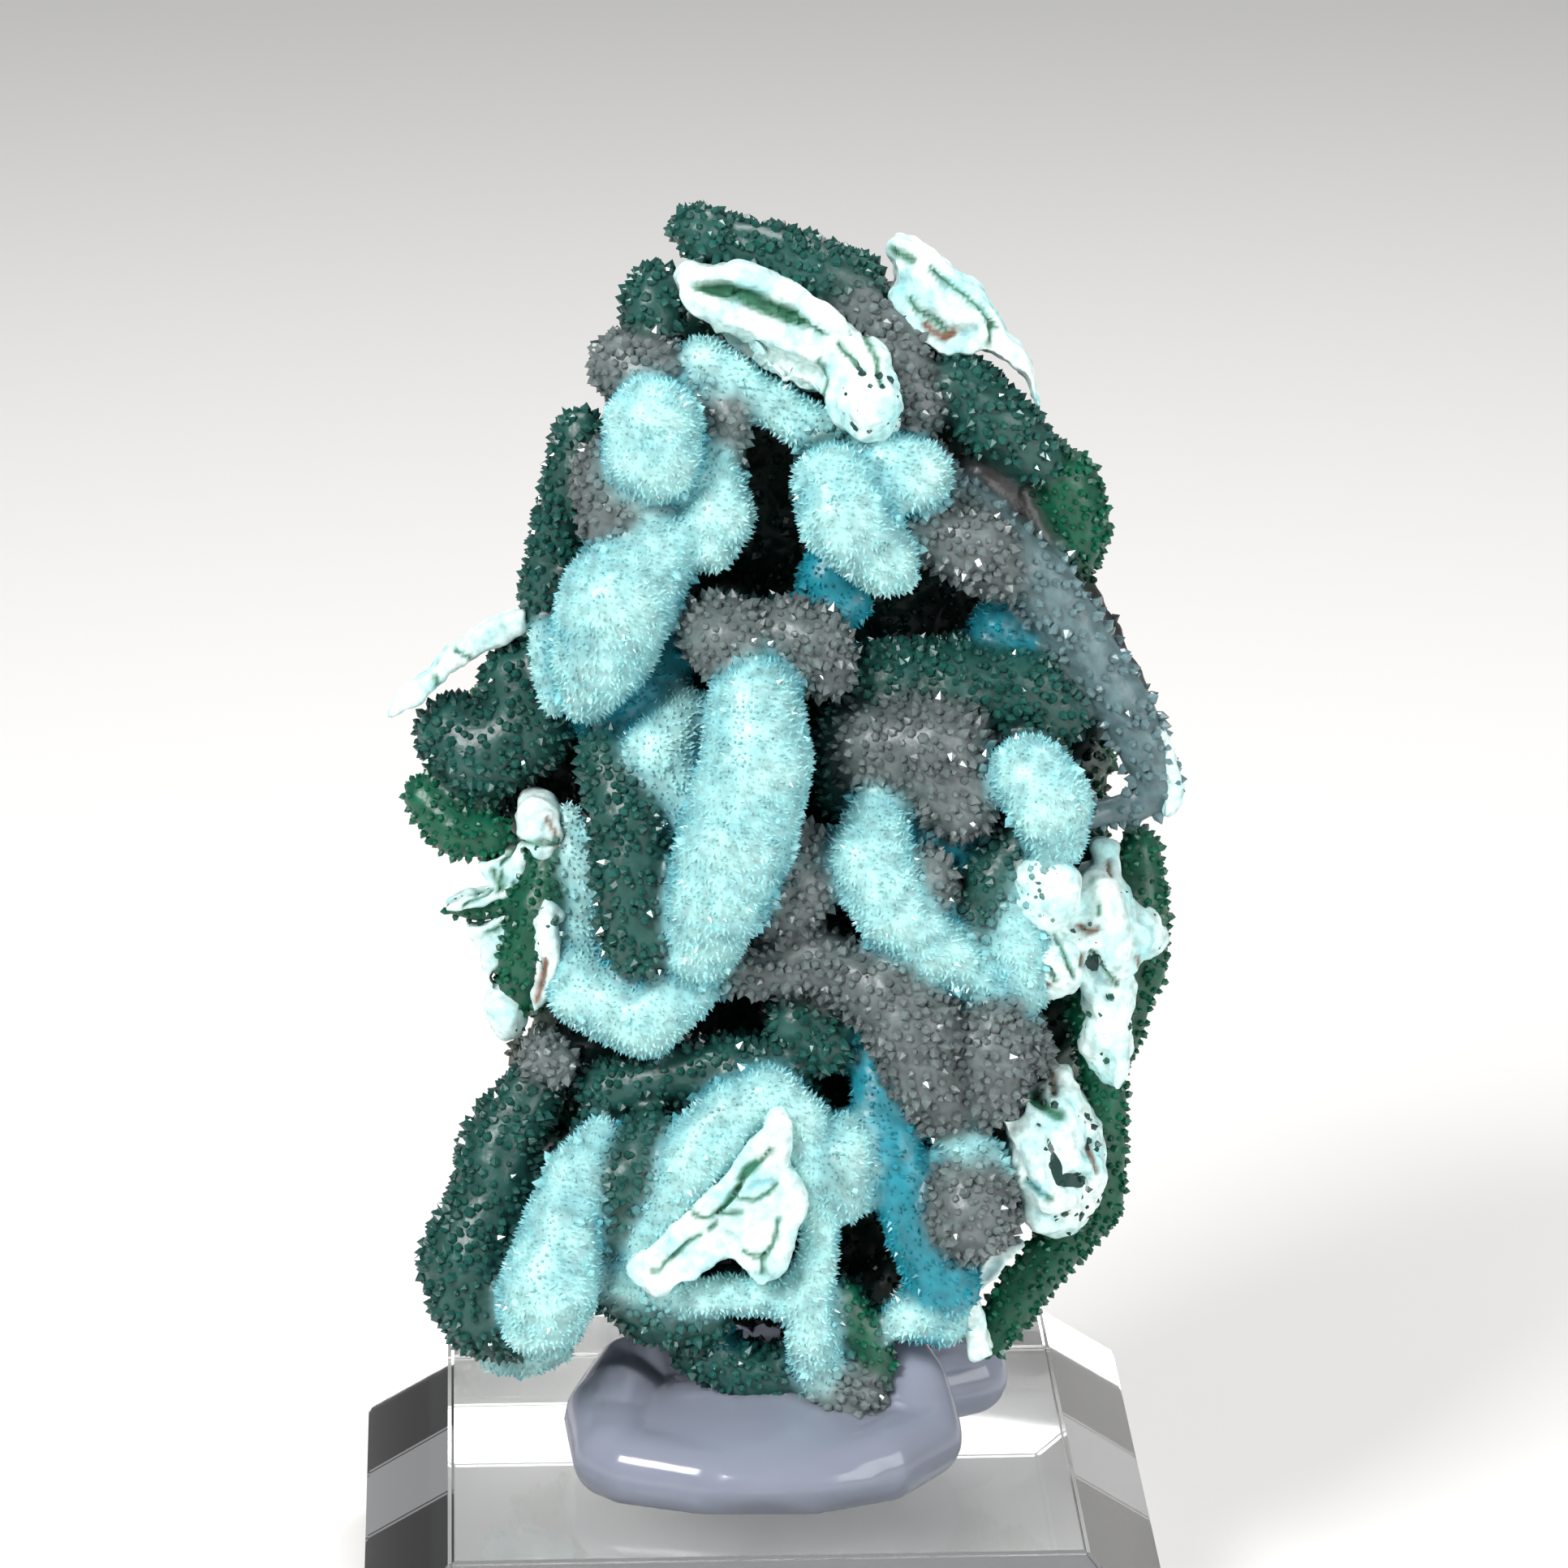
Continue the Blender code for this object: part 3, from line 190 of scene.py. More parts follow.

# Growths given in mm, most of them at the back: stations of (x, z, out, radius)
setGrowths = {
    "blue": {
        "blueBall": [(7, 25, 3.6, 2.5), (7, 21.5, 3.6, 2.5)],
        "backDrip": [(-5, 62, -22, 2.2), (-7, 56, -24, 3), (-7.5, 50, -23, 2.4)],
    },
    "deep": {"backPool": [(10, 38, -21, 2.6), (5, 35, -22.5, 3.2), (2, 29, -21, 2.4)]},
    "grey": {"backCrest": [(2, 84, -13, 3.2), (7, 78, -17, 3.8), (12, 71, -19, 3.4)]},
    "teal": {"backLowMass": [(-14, 25, -17, 3.8), (-10, 19, -16, 4.2), (-4, 14, -13, 3)]},
}

# Lumps: middle (pixels, out in mm), half width and height in pixels, half depth in mm. They were
# traced, but for the two pale balls and the slab's knob, whose pixels were fitted to sizes in mm.
tracedLumps = {
    "blueBall": ((1042, 1438, 3.5), (42, 70), 3.2),
    "paleBallUpper": ((1290, 1085, 4), (35, 31), 2.2),
    "paleBallLower": ((1290, 1115, 3.8), (35, 30), 2.2),
    "rightPaleUpper": ((1352, 1140, -0.5), (48, 66), 3),
    "rightPaleTail": ((1366, 1240, -1.5), (28, 84), 2.4),
    "rightPaleBud": ((1412, 1150, -2), (24, 28), 1.8),
    "rightPaleSmall": ((1300, 1185, 2), (32, 36), 2.4),
    "lowerRightPale": ((1302, 1440, 0.5), (56, 78), 4),
    "lowerRightPaleTop": ((1295, 1385, 0.5), (42, 46), 3.2),
    "leftPaleKnob": ((628, 1246, -1.5), (22, 30), 1.8),
    "leftShell": ((680, 1165, 1), (12, 56), 1.8),
    "slabKnob": ((1076, 492, 5.5), (35, 49), 2.8),
}

# Rock plates: front and thickness in mm, and an outline. The front one's is in pixels, 26 of its
# points as traced and 13 fitted to places in mm; the others' are given in mm.
frontPlate = (-4, 7, [
    (850, 300), (1000, 322), (1095, 350), (1130, 328), (1200, 394), (1258, 463), (1268, 540), (1330, 590),
    (1335, 700), (1378, 850), (1428, 950), (1408, 1020), (1405, 1130), (1385, 1250), (1362, 1350),
    (1358, 1465), (1290, 1555), (1210, 1635), (1090, 1655), (1040, 1722), (940, 1685), (800, 1630),
    (680, 1640), (570, 1605), (550, 1540), (592, 1420), (645, 1345), (672, 1290), (635, 1222),
    (615, 1150), (608, 1060), (500, 985), (486, 893), (560, 830), (655, 764), (685, 690), (704, 600),
    (742, 470), (797, 362),
])
backPlates = {
    "middlePlate": (-9, 8, [
        (-4, 92), (4, 92.5), (13, 90), (19, 81), (23, 71), (27.5, 58), (28.5, 45), (26, 30), (24, 18),
        (15, 9), (5, 5.5), (-8, 9), (-20, 12), (-20, 24), (-16, 34), (-18, 46), (-24, 55), (-17, 64),
        (-13, 75), (-10, 86),
    ]),
    "backPlate": (-15, 7.5, [
        (-2, 84), (8, 84), (15, 76), (20, 63), (24, 50), (22, 35), (18, 22), (9, 13), (-2, 13), (-13, 19),
        (-12, 34), (-15, 48), (-14, 58), (-10, 70),
    ]),
}

# Hollows in the front plate in mm: centre (x, z, out) and half sizes (x, z, out)
hollows = {
    "besideNeck": ((0.5, 78.5, -3.5), (1.9, 6.5, 4.5)),
    "aboveCrown": ((-1, 71.5, -4), (4.5, 2, 3.5)),
    "rightOfCrown": ((12, 67, -4), (5, 2.6, 3)),
    "underSweep": ((6, 28, -4), (2.2, 2.6, 4)),
    "overSlab": ((-4, 32.5, -4), (5.5, 1.6, 3.5)),
    "leftSeam": ((-15.2, 58, -4), (1, 4.5, 3.5)),
    "lowCentre": ((8.5, 15.5, -4), (2, 4.5, 3.5)),
    "rimHollow": ((27, 54, -4), (2.8, 1.9, 3)),
    "lowCavity": ((19.5, 26.5, -4), (1.6, 2.2, 3.5)),
}

# Pale crusts as traced: front and thickness in mm, the outline in pixels, and strokes of
# (kind, push out in mm, half width in mm, line in pixels)
tracedCrusts = {
    "topSlab": (4.5, 7, [
        (830, 345), (845, 328), (870, 330), (915, 330), (945, 345), (975, 360), (1000, 375), (1025, 390),
        (1050, 415), (1085, 435), (1094, 470), (1092, 520), (1070, 534), (1045, 528), (1025, 515),
        (1015, 490), (985, 480), (955, 462), (925, 446), (900, 424), (880, 402), (862, 388), (840, 372),
    ], [
        ("green", -0.9, 0.42, [
            (858, 352), (878, 358), (901, 362), (925, 372), (950, 383), (975, 391), (990, 397),
        ]),
        ("green", -0.9, 0.42, [(872, 352), (900, 354), (925, 363), (950, 374), (978, 386)]),
        ("green", -0.5, 0.16, [(985, 396), (1002, 404), (1017, 414)]),
        ("green", -0.6, 0.2, [(1032, 422), (1048, 438), (1055, 447), (1064, 454)]),
        ("ridge", 0.8, 0.9, [(868, 362), (903, 396), (938, 412), (975, 428), (1012, 440)]),
        ("ridge", 0.6, 0.8, [
            (908, 338), (947, 345), (975, 360), (1000, 378), (1030, 398), (1060, 420), (1084, 440),
        ]),
        ("dent", -1.9, 1, [(905, 420), (938, 438), (970, 452), (1000, 466)]),
        ("crack", -0.3, 0.08, [(1010, 442), (1016, 470), (1012, 490)]),
        ("crack", -0.25, 0.07, [(1062, 420), (1078, 444), (1086, 470)]),
    ]),
    "topRightSlab": (0.5, 6, [
        (1097, 302), (1105, 293), (1114, 291), (1130, 298), (1150, 314), (1172, 330), (1190, 346),
        (1210, 362), (1225, 382), (1240, 408), (1255, 428), (1270, 452), (1277, 478), (1280, 505),
        (1262, 458), (1238, 444), (1212, 430), (1190, 436), (1165, 440), (1152, 432), (1140, 425),
        (1128, 418), (1118, 400), (1106, 385), (1096, 366), (1104, 350), (1103, 330), (1096, 315),
    ], [
        ("green", -0.5, 0.16, [(1146, 330), (1158, 341), (1175, 353), (1195, 369), (1212, 383), (1228, 403)]),
        ("green", -0.6, 0.26, [(1121, 367), (1131, 380), (1143, 388), (1155, 397), (1168, 410)]),
        ("brown", -0.3, 0.4, [(1142, 400), (1150, 408), (1163, 416), (1172, 408)]),
        ("green", -0.2, 0.4, [(1100, 308), (1112, 314), (1124, 320)]),
        ("crack", -0.4, 0.08, [(1222, 404), (1222, 412), (1218, 424)]),
        ("dent", -0.7, 0.6, [(1180, 412), (1200, 404), (1215, 398)]),
        ("ridge", 0.5, 0.8, [(1130, 335), (1160, 370), (1190, 395), (1205, 398)]),
        ("blue", -0.2, 0.5, [(1112, 340), (1110, 352)]),
        ("blue", -0.2, 0.4, [(1185, 412), (1202, 405)]),
    ]),
    "lowerSlab": (7, 5, [
        (954, 1365), (965, 1367), (969, 1380), (976, 1397), (977, 1412), (971, 1425), (964, 1441),
        (976, 1449), (989, 1462), (992, 1482), (991, 1497), (983, 1510), (979, 1534), (973, 1558),
        (958, 1575), (943, 1585), (932, 1583), (922, 1575), (914, 1555), (902, 1548), (884, 1550),
        (872, 1562), (859, 1573), (837, 1584), (815, 1593), (796, 1588), (779, 1579), (768, 1569),
        (771, 1553), (787, 1541), (802, 1534), (815, 1521), (828, 1508), (850, 1493), (868, 1464),
        (885, 1454), (898, 1440), (909, 1420), (926, 1402), (945, 1389),
    ], [
        ("green", -0.5, 0.22, [
            (950, 1412), (943, 1421), (935, 1432), (915, 1451), (904, 1471), (893, 1482), (883, 1493),
        ]),
        ("green", -0.3, 0.34, [(930, 1430), (918, 1440), (911, 1452)]),
        ("crack", -0.5, 0.09, [(909, 1460), (895, 1478), (880, 1494), (872, 1498), (861, 1497), (852, 1490)]),
        ("green", -0.5, 0.24, [(960, 1500), (957, 1515), (952, 1532), (944, 1544)]),
        ("green", -0.4, 0.15, [(944, 1546), (930, 1545), (916, 1540)]),
        ("green", -0.3, 0.1, [(940, 1550), (940, 1566)]),
        ("green", -0.3, 0.12, [(863, 1520), (850, 1527), (839, 1538), (831, 1547)]),
        ("crack", -0.3, 0.08, [(831, 1547), (818, 1555), (813, 1563), (803, 1563)]),
        ("green", -0.3, 0.16, [(882, 1504), (873, 1513)]),
        ("blue", -0.2, 0.35, [(916, 1466), (935, 1455), (954, 1452)]),
        ("crack", -0.2, 0.06, [(913, 1475), (930, 1477), (948, 1468), (957, 1456)]),
        ("blue", -0.5, 0.5, [(906, 1412), (912, 1402)]),
        ("crack", -0.2, 0.06, [(890, 1492), (915, 1491)]),
        ("dent", -0.6, 0.6, [(895, 1520), (905, 1535)]),
        ("ridge", 0.5, 0.9, [(960, 1385), (958, 1430), (970, 1470), (965, 1520), (950, 1560)]),
    ]),
    "leftPlateRim": (-0.5, 4.5, [
        (650, 748), (625, 758), (600, 770), (575, 790), (545, 808), (530, 828), (500, 845), (487, 860),
        (477, 885), (492, 883), (510, 868), (530, 852), (560, 822), (595, 806), (625, 793), (652, 776),
    ], [
        ("green", -0.3, 0.3, [(536, 832), (541, 842)]),
        ("crack", -0.2, 0.08, [(560, 800), (580, 808)]),
    ]),
    "leftTongue": (0, 4, [
        (640, 985), (655, 976), (672, 980), (690, 998), (691, 1040), (672, 1060), (655, 1045), (637, 1038),
        (634, 1008),
    ], [
        ("crack", -0.4, 0.09, [(635, 1037), (650, 1037), (668, 1036), (690, 1037)]),
        ("brown", -0.2, 0.25, [(675, 1008), (684, 1025), (688, 1045)]),
        ("crack", -0.4, 0.1, [(633, 1040), (625, 1058), (620, 1065)]),
    ]),
    "leftShards": (-0.8, 4, [
        (585, 1062), (610, 1058), (640, 1040), (650, 1060), (648, 1090), (640, 1104), (612, 1108),
        (590, 1116), (560, 1125), (545, 1119), (556, 1110), (575, 1103), (600, 1100), (604, 1090),
        (590, 1080),
    ], [
        ("crack", -0.5, 0.09, [(607, 1070), (612, 1083), (616, 1095)]),
        ("crack", -0.5, 0.09, [(620, 1075), (622, 1090), (616, 1096)]),
        ("green", -0.4, 0.22, [(606, 1095), (590, 1103), (572, 1116)]),
        ("green", -0.4, 0.22, [(556, 1128), (585, 1128), (612, 1118), (640, 1110)]),
        ("green", -0.4, 0.2, [(634, 1088), (642, 1098)]),
    ]),
    "leftLeg": (-0.8, 4, [
        (570, 1140), (590, 1143), (610, 1136), (630, 1128), (640, 1124), (638, 1150), (628, 1165),
        (622, 1185), (608, 1195), (606, 1215), (612, 1228), (603, 1214), (595, 1195), (597, 1168),
        (585, 1155),
    ], [
        ("crack", -0.3, 0.08, [(598, 1148), (612, 1143), (626, 1133)]),
        ("green", -0.4, 0.16, [(618, 1138), (626, 1130)]),
    ]),
    "leftShellStrip": (1.2, 2.5, [
        (690, 1120), (696, 1125), (695, 1150), (684, 1180), (676, 1215), (662, 1248), (656, 1245),
        (661, 1210), (668, 1165), (676, 1140),
    ], [
        ("brown", -0.2, 0.35, [(672, 1180), (668, 1205), (662, 1232)]),
    ]),
    "rightRim": (-2, 4, [
        (1392, 858), (1410, 870), (1425, 890), (1440, 915), (1452, 945), (1458, 975), (1455, 992),
        (1436, 1006), (1438, 975), (1428, 935), (1410, 900), (1398, 880),
    ], [
        ("crack", -0.2, 0.08, [(1420, 905), (1432, 930)]),
    ]),
    "rightStrip": (-1.6, 3.5, [
        (1196, 585), (1215, 590), (1240, 618), (1248, 640), (1225, 632), (1205, 612),
    ], [
        ("crack", -0.2, 0.08, [(1215, 600), (1230, 625)]),
    ]),
    "rightStripLow": (-2.6, 3, [
        (1332, 726), (1348, 740), (1362, 765), (1358, 790), (1342, 772), (1334, 748),
    ], []),
    "rightUpperChip": (-1.2, 3, [
        (1346, 1040), (1375, 1040), (1380, 1060), (1378, 1078), (1362, 1078), (1349, 1063),
    ], [
        ("brown", -0.2, 0.15, [(1364, 1060), (1366, 1074)]),
    ]),
    "rightMain": (0.6, 5, [
        (1330, 1088), (1336, 1072), (1356, 1069), (1367, 1082), (1382, 1092), (1391, 1115), (1398, 1137),
        (1417, 1144), (1423, 1157), (1408, 1173), (1404, 1189), (1390, 1198), (1378, 1215), (1380, 1228),
        (1391, 1245), (1390, 1287), (1388, 1323), (1375, 1345), (1372, 1316), (1373, 1300), (1369, 1284),
        (1349, 1264), (1347, 1241), (1333, 1222), (1330, 1193), (1333, 1167), (1336, 1150), (1330, 1130),
        (1324, 1112),
    ], [
        ("crack", -0.4, 0.08, [(1343, 1168), (1357, 1183), (1367, 1196), (1376, 1213)]),
        ("brown", -0.3, 0.3, [(1328, 1136), (1340, 1142), (1352, 1140)]),
        ("brown", -0.2, 0.16, [(1332, 1170), (1331, 1182)]),
        ("brown", -0.2, 0.16, [(1400, 1176), (1404, 1188)]),
        ("crack", -0.3, 0.08, [(1352, 1110), (1352, 1122)]),
        ("ridge", 0.7, 0.9, [(1360, 1090), (1375, 1130), (1375, 1170), (1362, 1200)]),
        ("dent", -0.6, 0.5, [(1345, 1185), (1358, 1215), (1372, 1240)]),
        ("blue", -0.1, 0.5, [(1350, 1190), (1358, 1205)]),
    ]),
    "rightFractured": (2.4, 4, [
        (1275, 1148), (1295, 1146), (1310, 1160), (1320, 1185), (1323, 1205), (1312, 1225), (1290, 1230),
        (1275, 1218), (1268, 1190), (1270, 1165),
    ], [
        ("green", -0.5, 0.2, [(1300, 1150), (1312, 1172), (1325, 1200)]),
        ("brown", -0.3, 0.3, [(1280, 1205), (1292, 1212)]),
        ("crack", -0.4, 0.08, [(1274, 1180), (1290, 1188), (1300, 1205)]),
    ]),
    "lowerRight": (3, 6, [
        (1229, 1375), (1245, 1378), (1260, 1371), (1263, 1345), (1274, 1358), (1294, 1371), (1307, 1383),
        (1320, 1378), (1333, 1391), (1339, 1417), (1356, 1425), (1360, 1446), (1349, 1459), (1335, 1475),
        (1332, 1501), (1310, 1516), (1274, 1518), (1261, 1501), (1258, 1466), (1257, 1453), (1271, 1441),
        (1258, 1423), (1245, 1404), (1235, 1388),
    ], [
        ("green", -0.4, 0.5, [(1275, 1352), (1290, 1362), (1308, 1372)]),
        ("brown", -0.2, 0.3, [(1340, 1412), (1346, 1430), (1350, 1442)]),
        ("dent", -0.9, 0.7, [(1280, 1395), (1296, 1420), (1300, 1450), (1330, 1452)]),
        ("ridge", 0.9, 0.8, [(1270, 1400), (1282, 1440), (1290, 1480), (1315, 1470)]),
        ("ridge", 0.7, 0.6, [(1310, 1400), (1325, 1430), (1345, 1442)]),
        ("crack", -0.3, 0.08, [(1262, 1452), (1280, 1458), (1296, 1468)]),
        ("blue", -0.1, 0.6, [(1268, 1455), (1285, 1460)]),
    ]),
    "lowerRightStrip": (0, 3, [
        (1294, 1319), (1317, 1319), (1326, 1342), (1343, 1368), (1360, 1388), (1359, 1401), (1346, 1383),
        (1320, 1357), (1297, 1344),
    ], [
        ("brown", -0.2, 0.25, [(1296, 1322), (1298, 1340)]),
    ]),
    "paleColumn": (1.5, 4, [(1178, 1595), (1200, 1590), (1222, 1668), (1200, 1672)], []),
    "lowerSheet": (0, 4, [
        (1262, 1530), (1245, 1550), (1230, 1570), (1210, 1588), (1195, 1592), (1205, 1570), (1215, 1545),
        (1240, 1530),
    ], [
        ("blue", -0.1, 0.5, [(1212, 1575), (1228, 1555)]),
    ]),
}


# Where a pixel of the photograph lies on the face at a given height: x, z and the pixel's size in mm
def seenAt(across, down, out):
    pitch = math.radians(photoCamera["pitch"])
    lean = math.radians(leanDegrees)
    right = (across - photoCamera["middle"]) / photoCamera["focal"]
    low = (down - photoCamera["middle"]) / photoCamera["focal"]
    ray = np.array((right, math.cos(pitch) - low * math.sin(pitch), -math.sin(pitch) - low * math.cos(pitch)))
    facing = np.array((0, -math.cos(lean), math.sin(lean)))
    upwards = np.array((0, math.sin(lean), math.cos(lean)))
    eye = np.array(photoCamera["place"]) - np.array(specimenTip)
    far = (out - eye @ facing) / (ray @ facing)
    spot = eye + far * ray
    return float(spot[0]), float(spot @ upwards), float(far / photoCamera["focal"])


# Rounds x and z to a grain of 1/parts mm
def seenPoint(across, down, out, parts):
    x, z = seenAt(across, down, out)[:2]
    return round(x * parts) / parts, round(z * parts) / parts


def seenRun(stations):
    run = []
    for across, down, out, radius in stations:
        pixel = seenAt(across, down, out)[2]
        run.append((*seenPoint(across, down, out, 2), out, round(radius * pixel, 1)))
    return run


def seenLump(middle, halves, deep):
    pixel = seenAt(*middle)[2]
    wide, tall = [round(half * pixel, 1) for half in halves]
    return (*seenPoint(*middle, 2), middle[2]), (wide, tall, deep)


def seenCrust(front, thick, outline, strokes):
    return {
        "front": front,
        "thick": thick,
        "outline": [seenPoint(*point, front, 10) for point in outline],
        "strokes": [
            (kind, push, width, [seenPoint(*point, front, 10) for point in line])
            for kind, push, width, line in strokes
        ],
    }


growths = {
    mineral: {**{name: seenRun(run) for name, run in runs.items()}, **setGrowths.get(mineral, {})}
    for mineral, runs in tracedGrowths.items()
}
lumps = {name: seenLump(*lump) for name, lump in tracedLumps.items()}
front, thick, outline = frontPlate
rock = {"frontPlate": (front, thick, [seenPoint(*point, front, 2) for point in outline]), **backPlates}
paleCrusts = {name: seenCrust(*crust) for name, crust in tracedCrusts.items()}
print("traces placed")


def linear(*srgb):
    return [((c / 255 + 0.055) / 1.055) ** 2.4 if c > 10 else c / 3294 for c in srgb]


# Colours of the minerals, as their usual shades; the body also uses deep and blue as the painted shaded and
# lit sides of its blue growths
tints = {
    "blue": linear(172, 216, 213), "deep": linear(28, 130, 146), "grey": linear(84, 92, 92),
    "teal": linear(24, 66, 60), "green": linear(0, 70, 48), "chalcedony": linear(92, 116, 120),
    "matrix": linear(34, 24, 26), "pale": linear(222, 240, 236), "brown": linear(105, 60, 34),
    "rockFront": linear(16, 50, 46), "rockBack": linear(60, 66, 60), "seamGreen": linear(6, 96, 62),
    "paleBlue": linear(165, 218, 218),
}
tints = {name: np.array(tint) for name, tint in tints.items()}


def facePoint(x, z, out):
    return Vector((x * mm, -out * mm, z * mm))


def newObject(name, mesh):
    made = bpy.data.objects.new(name, mesh)
    bpy.context.scene.collection.objects.link(made)
    return made


def meshFrom(bm, name):
    mesh = bpy.data.meshes.new(name)
    bm.to_mesh(mesh)
    bm.free()
    return mesh


def applied(piece):
    bpy.context.view_layer.update()
    mesh = bpy.data.meshes.new_from_object(piece.evaluated_get(bpy.context.evaluated_depsgraph_get()))
    piece.modifiers.clear()
    piece.data = mesh


def voxels(piece, size):
    remesh = piece.modifiers.new("remesh", "REMESH")
    remesh.mode = "VOXEL"
    remesh.voxel_size = size * mm
    applied(piece)


def relaxed(piece, rounds):
    relax = piece.modifiers.new("relax", "SMOOTH")
    relax.factor = 0.5
    relax.iterations = rounds
    applied(piece)


# Balls as rows of centre and three radii in metres, all as one mesh
def ballMesh(name, rows):
    bm = bmesh.new()
    bmesh.ops.create_icosphere(bm, subdivisions=3, radius=1)
    ball = np.array([v.co[:] for v in bm.verts])
    sides = np.array([[v.index for v in f.verts] for f in bm.faces])
    bm.free()
    rows = np.array(rows)
    points = rows[:, None, :3] + ball[None] * rows[:, None, 3:]
    faces = sides[None] + (np.arange(len(rows)) * len(ball))[:, None, None]
    mesh = bpy.data.meshes.new(name)
    mesh.vertices.add(points.size // 3)
    mesh.vertices.foreach_set("co", points.ravel())
    mesh.loops.add(faces.size)
    mesh.loops.foreach_set("vertex_index", faces.ravel())
    mesh.polygons.add(faces.size // 3)
    mesh.polygons.foreach_set("loop_start", np.arange(0, faces.size, 3))
    mesh.update(calc_edges=True)
    return mesh


# A row for a ball on the face, with half sizes (x, z, out) in mm
def lumpRow(centre, halves, extra=0):
    wide, tall, deep = [(half + extra) * mm for half in halves]
    return [*facePoint(*centre), wide, deep, tall]


# A ball drawn out along its stations, about a third of its radius at a time
def fingerRows(stations, onFace=True):
    rows = []
    for a, b in zip(stations, stations[1:]):
        start = Vector(a)
        end = Vector(b)
        steps = max(1, math.ceil((end.xyz - start.xyz).length / (0.35 * min(a[3], b[3]))))
        for i in range(steps + 1):
            x, y, z, r = start.lerp(end, i / steps)
            centre = facePoint(x, y, z) if onFace else Vector((x, y, z)) * mm
            rows.append([*centre, r * mm, r * mm, r * mm])
    return rows


# The rock behind a growth, so that it doesn't stand off the plate
def rootRows(stations):
    plate = rock["frontPlate"][0]
    roots = [(x, z, (out + plate) / 2, r * 0.95) for x, z, out, r in stations if out > plate + 1]
    return fingerRows(roots)


def slabMesh(name, front, thick, outline):
    bm = bmesh.new()
    face = bm.faces.new([bm.verts.new(facePoint(x, z, front)) for x, z in outline])
    moved = bmesh.ops.extrude_face_region(bm, geom=[face])["geom"]
    corners = [item for item in moved if isinstance(item, bmesh.types.BMVert)]
    bmesh.ops.translate(bm, vec=Vector((0, thick * mm, 0)), verts=corners)
    bmesh.ops.recalc_face_normals(bm, faces=bm.faces)
    return meshFrom(bm, name)


def joinedObject(name, meshes):
    bm = bmesh.new()
    for mesh in meshes:
        bm.from_mesh(mesh)
    return newObject(name, meshFrom(bm, name))


def coordsOf(mesh):
    flat = np.empty(len(mesh.vertices) * 3)
    mesh.vertices.foreach_get("co", flat)
    return flat.reshape(-1, 3)


def normalsOf(mesh):
    flat = np.empty(len(mesh.vertices) * 3)
    mesh.vertex_normals.foreach_get("vector", flat)
    return flat.reshape(-1, 3)


def moveTo(mesh, points):
    mesh.vertices.foreach_set("co", points.ravel())
    mesh.update()


def noiseOf(points, scale, detail=2, shift=0):
    away = Vector((shift, shift * 2.3, shift * 1.7))
    return np.array([noise.fractal(Vector(p) / (scale * mm) + away, 1.0, 2.0, detail) for p in points])


# Swells of a height and a spacing in mm, lower on the face where they are growing
def roughened(piece, amount, scale, growing):
    points = coordsOf(piece.data)
    share = 0.35 + np.clip((points[:, 1] / mm - 2) / 6, 0, 1) if growing else 1.0
    swell = noiseOf(points, scale, 3) * amount * mm * share
    moveTo(piece.data, points + normalsOf(piece.data) * swell[:, None])


def storeColour(mesh, name, colours):
    rows = np.ones((len(colours), 4))
    rows[:, :3] = colours
    mesh.color_attributes.new(name, "FLOAT_COLOR", "POINT").data.foreach_set("color", rows.ravel())


def storeValue(mesh, name, values):
    mesh.attributes.new(name, "FLOAT", "POINT").data.foreach_set("value", np.asarray(values, dtype=float))


# Distance from points to a line of two or more corners, with the share of the way along each stretch
def stretches(points, line):
    for a, b in zip(line, line[1:]):
        start = np.array(a, dtype=float)
        along = np.array(b, dtype=float) - start
        t = np.clip(((points - start) @ along) / max(along @ along, 1e-6), 0, 1)
        yield np.linalg.norm(points - start - t[:, None] * along, axis=1), t


# Distance in mm from points (x, z, out) to the nearest run of one mineral
def distanceTo(points, runs):
    best = np.full(len(points), 1e3)
    for stations in runs.values():
        radii = [station[3] for station in stations]
        for i, (gap, t) in enumerate(stretches(points, [station[:3] for station in stations])):
            best = np.minimum(best, gap - (radii[i] + (radii[i + 1] - radii[i]) * t))
    return best


# The mineral body: three plates of rock, every growth and every lump as one mesh
def buildBody():
    settings = {
        "rockVoxel": 1.0, "rockRounding": 8, "rockSwells": (2.2, 7.0), "voxel": 0.6, "rounding": 2,
        "swells": (0.6, 3.0),
    }
    plates = [slabMesh(name, *plate) for name, plate in rock.items()]
    front = newObject("frontRock", plates[0])
    holes = [lumpRow(*hollow) for hollow in hollows.values()]
    cutter = newObject("hollowCutter", ballMesh("hollowCutter", holes))
    cut = front.modifiers.new("cut", "BOOLEAN")
    cut.operation = "DIFFERENCE"
    cut.object = cutter
    applied(front)
    blocks = joinedObject("rockBlocks", [front.data, *plates[1:]])
    voxels(blocks, settings["rockVoxel"])
    relaxed(blocks, settings["rockRounding"])
    roughened(blocks, *settings["rockSwells"], True)
    rows = []
    for runs in growths.values():
        for stations in runs.values():
            rows += fingerRows(stations) + rootRows(stations)
    rows += [lumpRow(*lump) for lump in lumps.values()]
    body = joinedObject("mineralBody", [blocks.data, ballMesh("fingers", rows)])
    voxels(body, settings["voxel"])
    relaxed(body, settings["rounding"])
    roughened(body, *settings["swells"], True)
    for spare in (front, cutter, blocks):
        bpy.data.objects.remove(spare)
    print("mineral body", len(body.data.polygons), "faces")
    return body


# How far the surface stands out of its smoothed self, in mm
def standingOut(mesh, points, normals, rounds):
    smooth = joinedObject("smoothCopy", [mesh])
    relaxed(smooth, rounds)
    standing = ((points - coordsOf(smooth.data)) * normals).sum(axis=1) / mm
    bpy.data.objects.remove(smooth)
    return standing
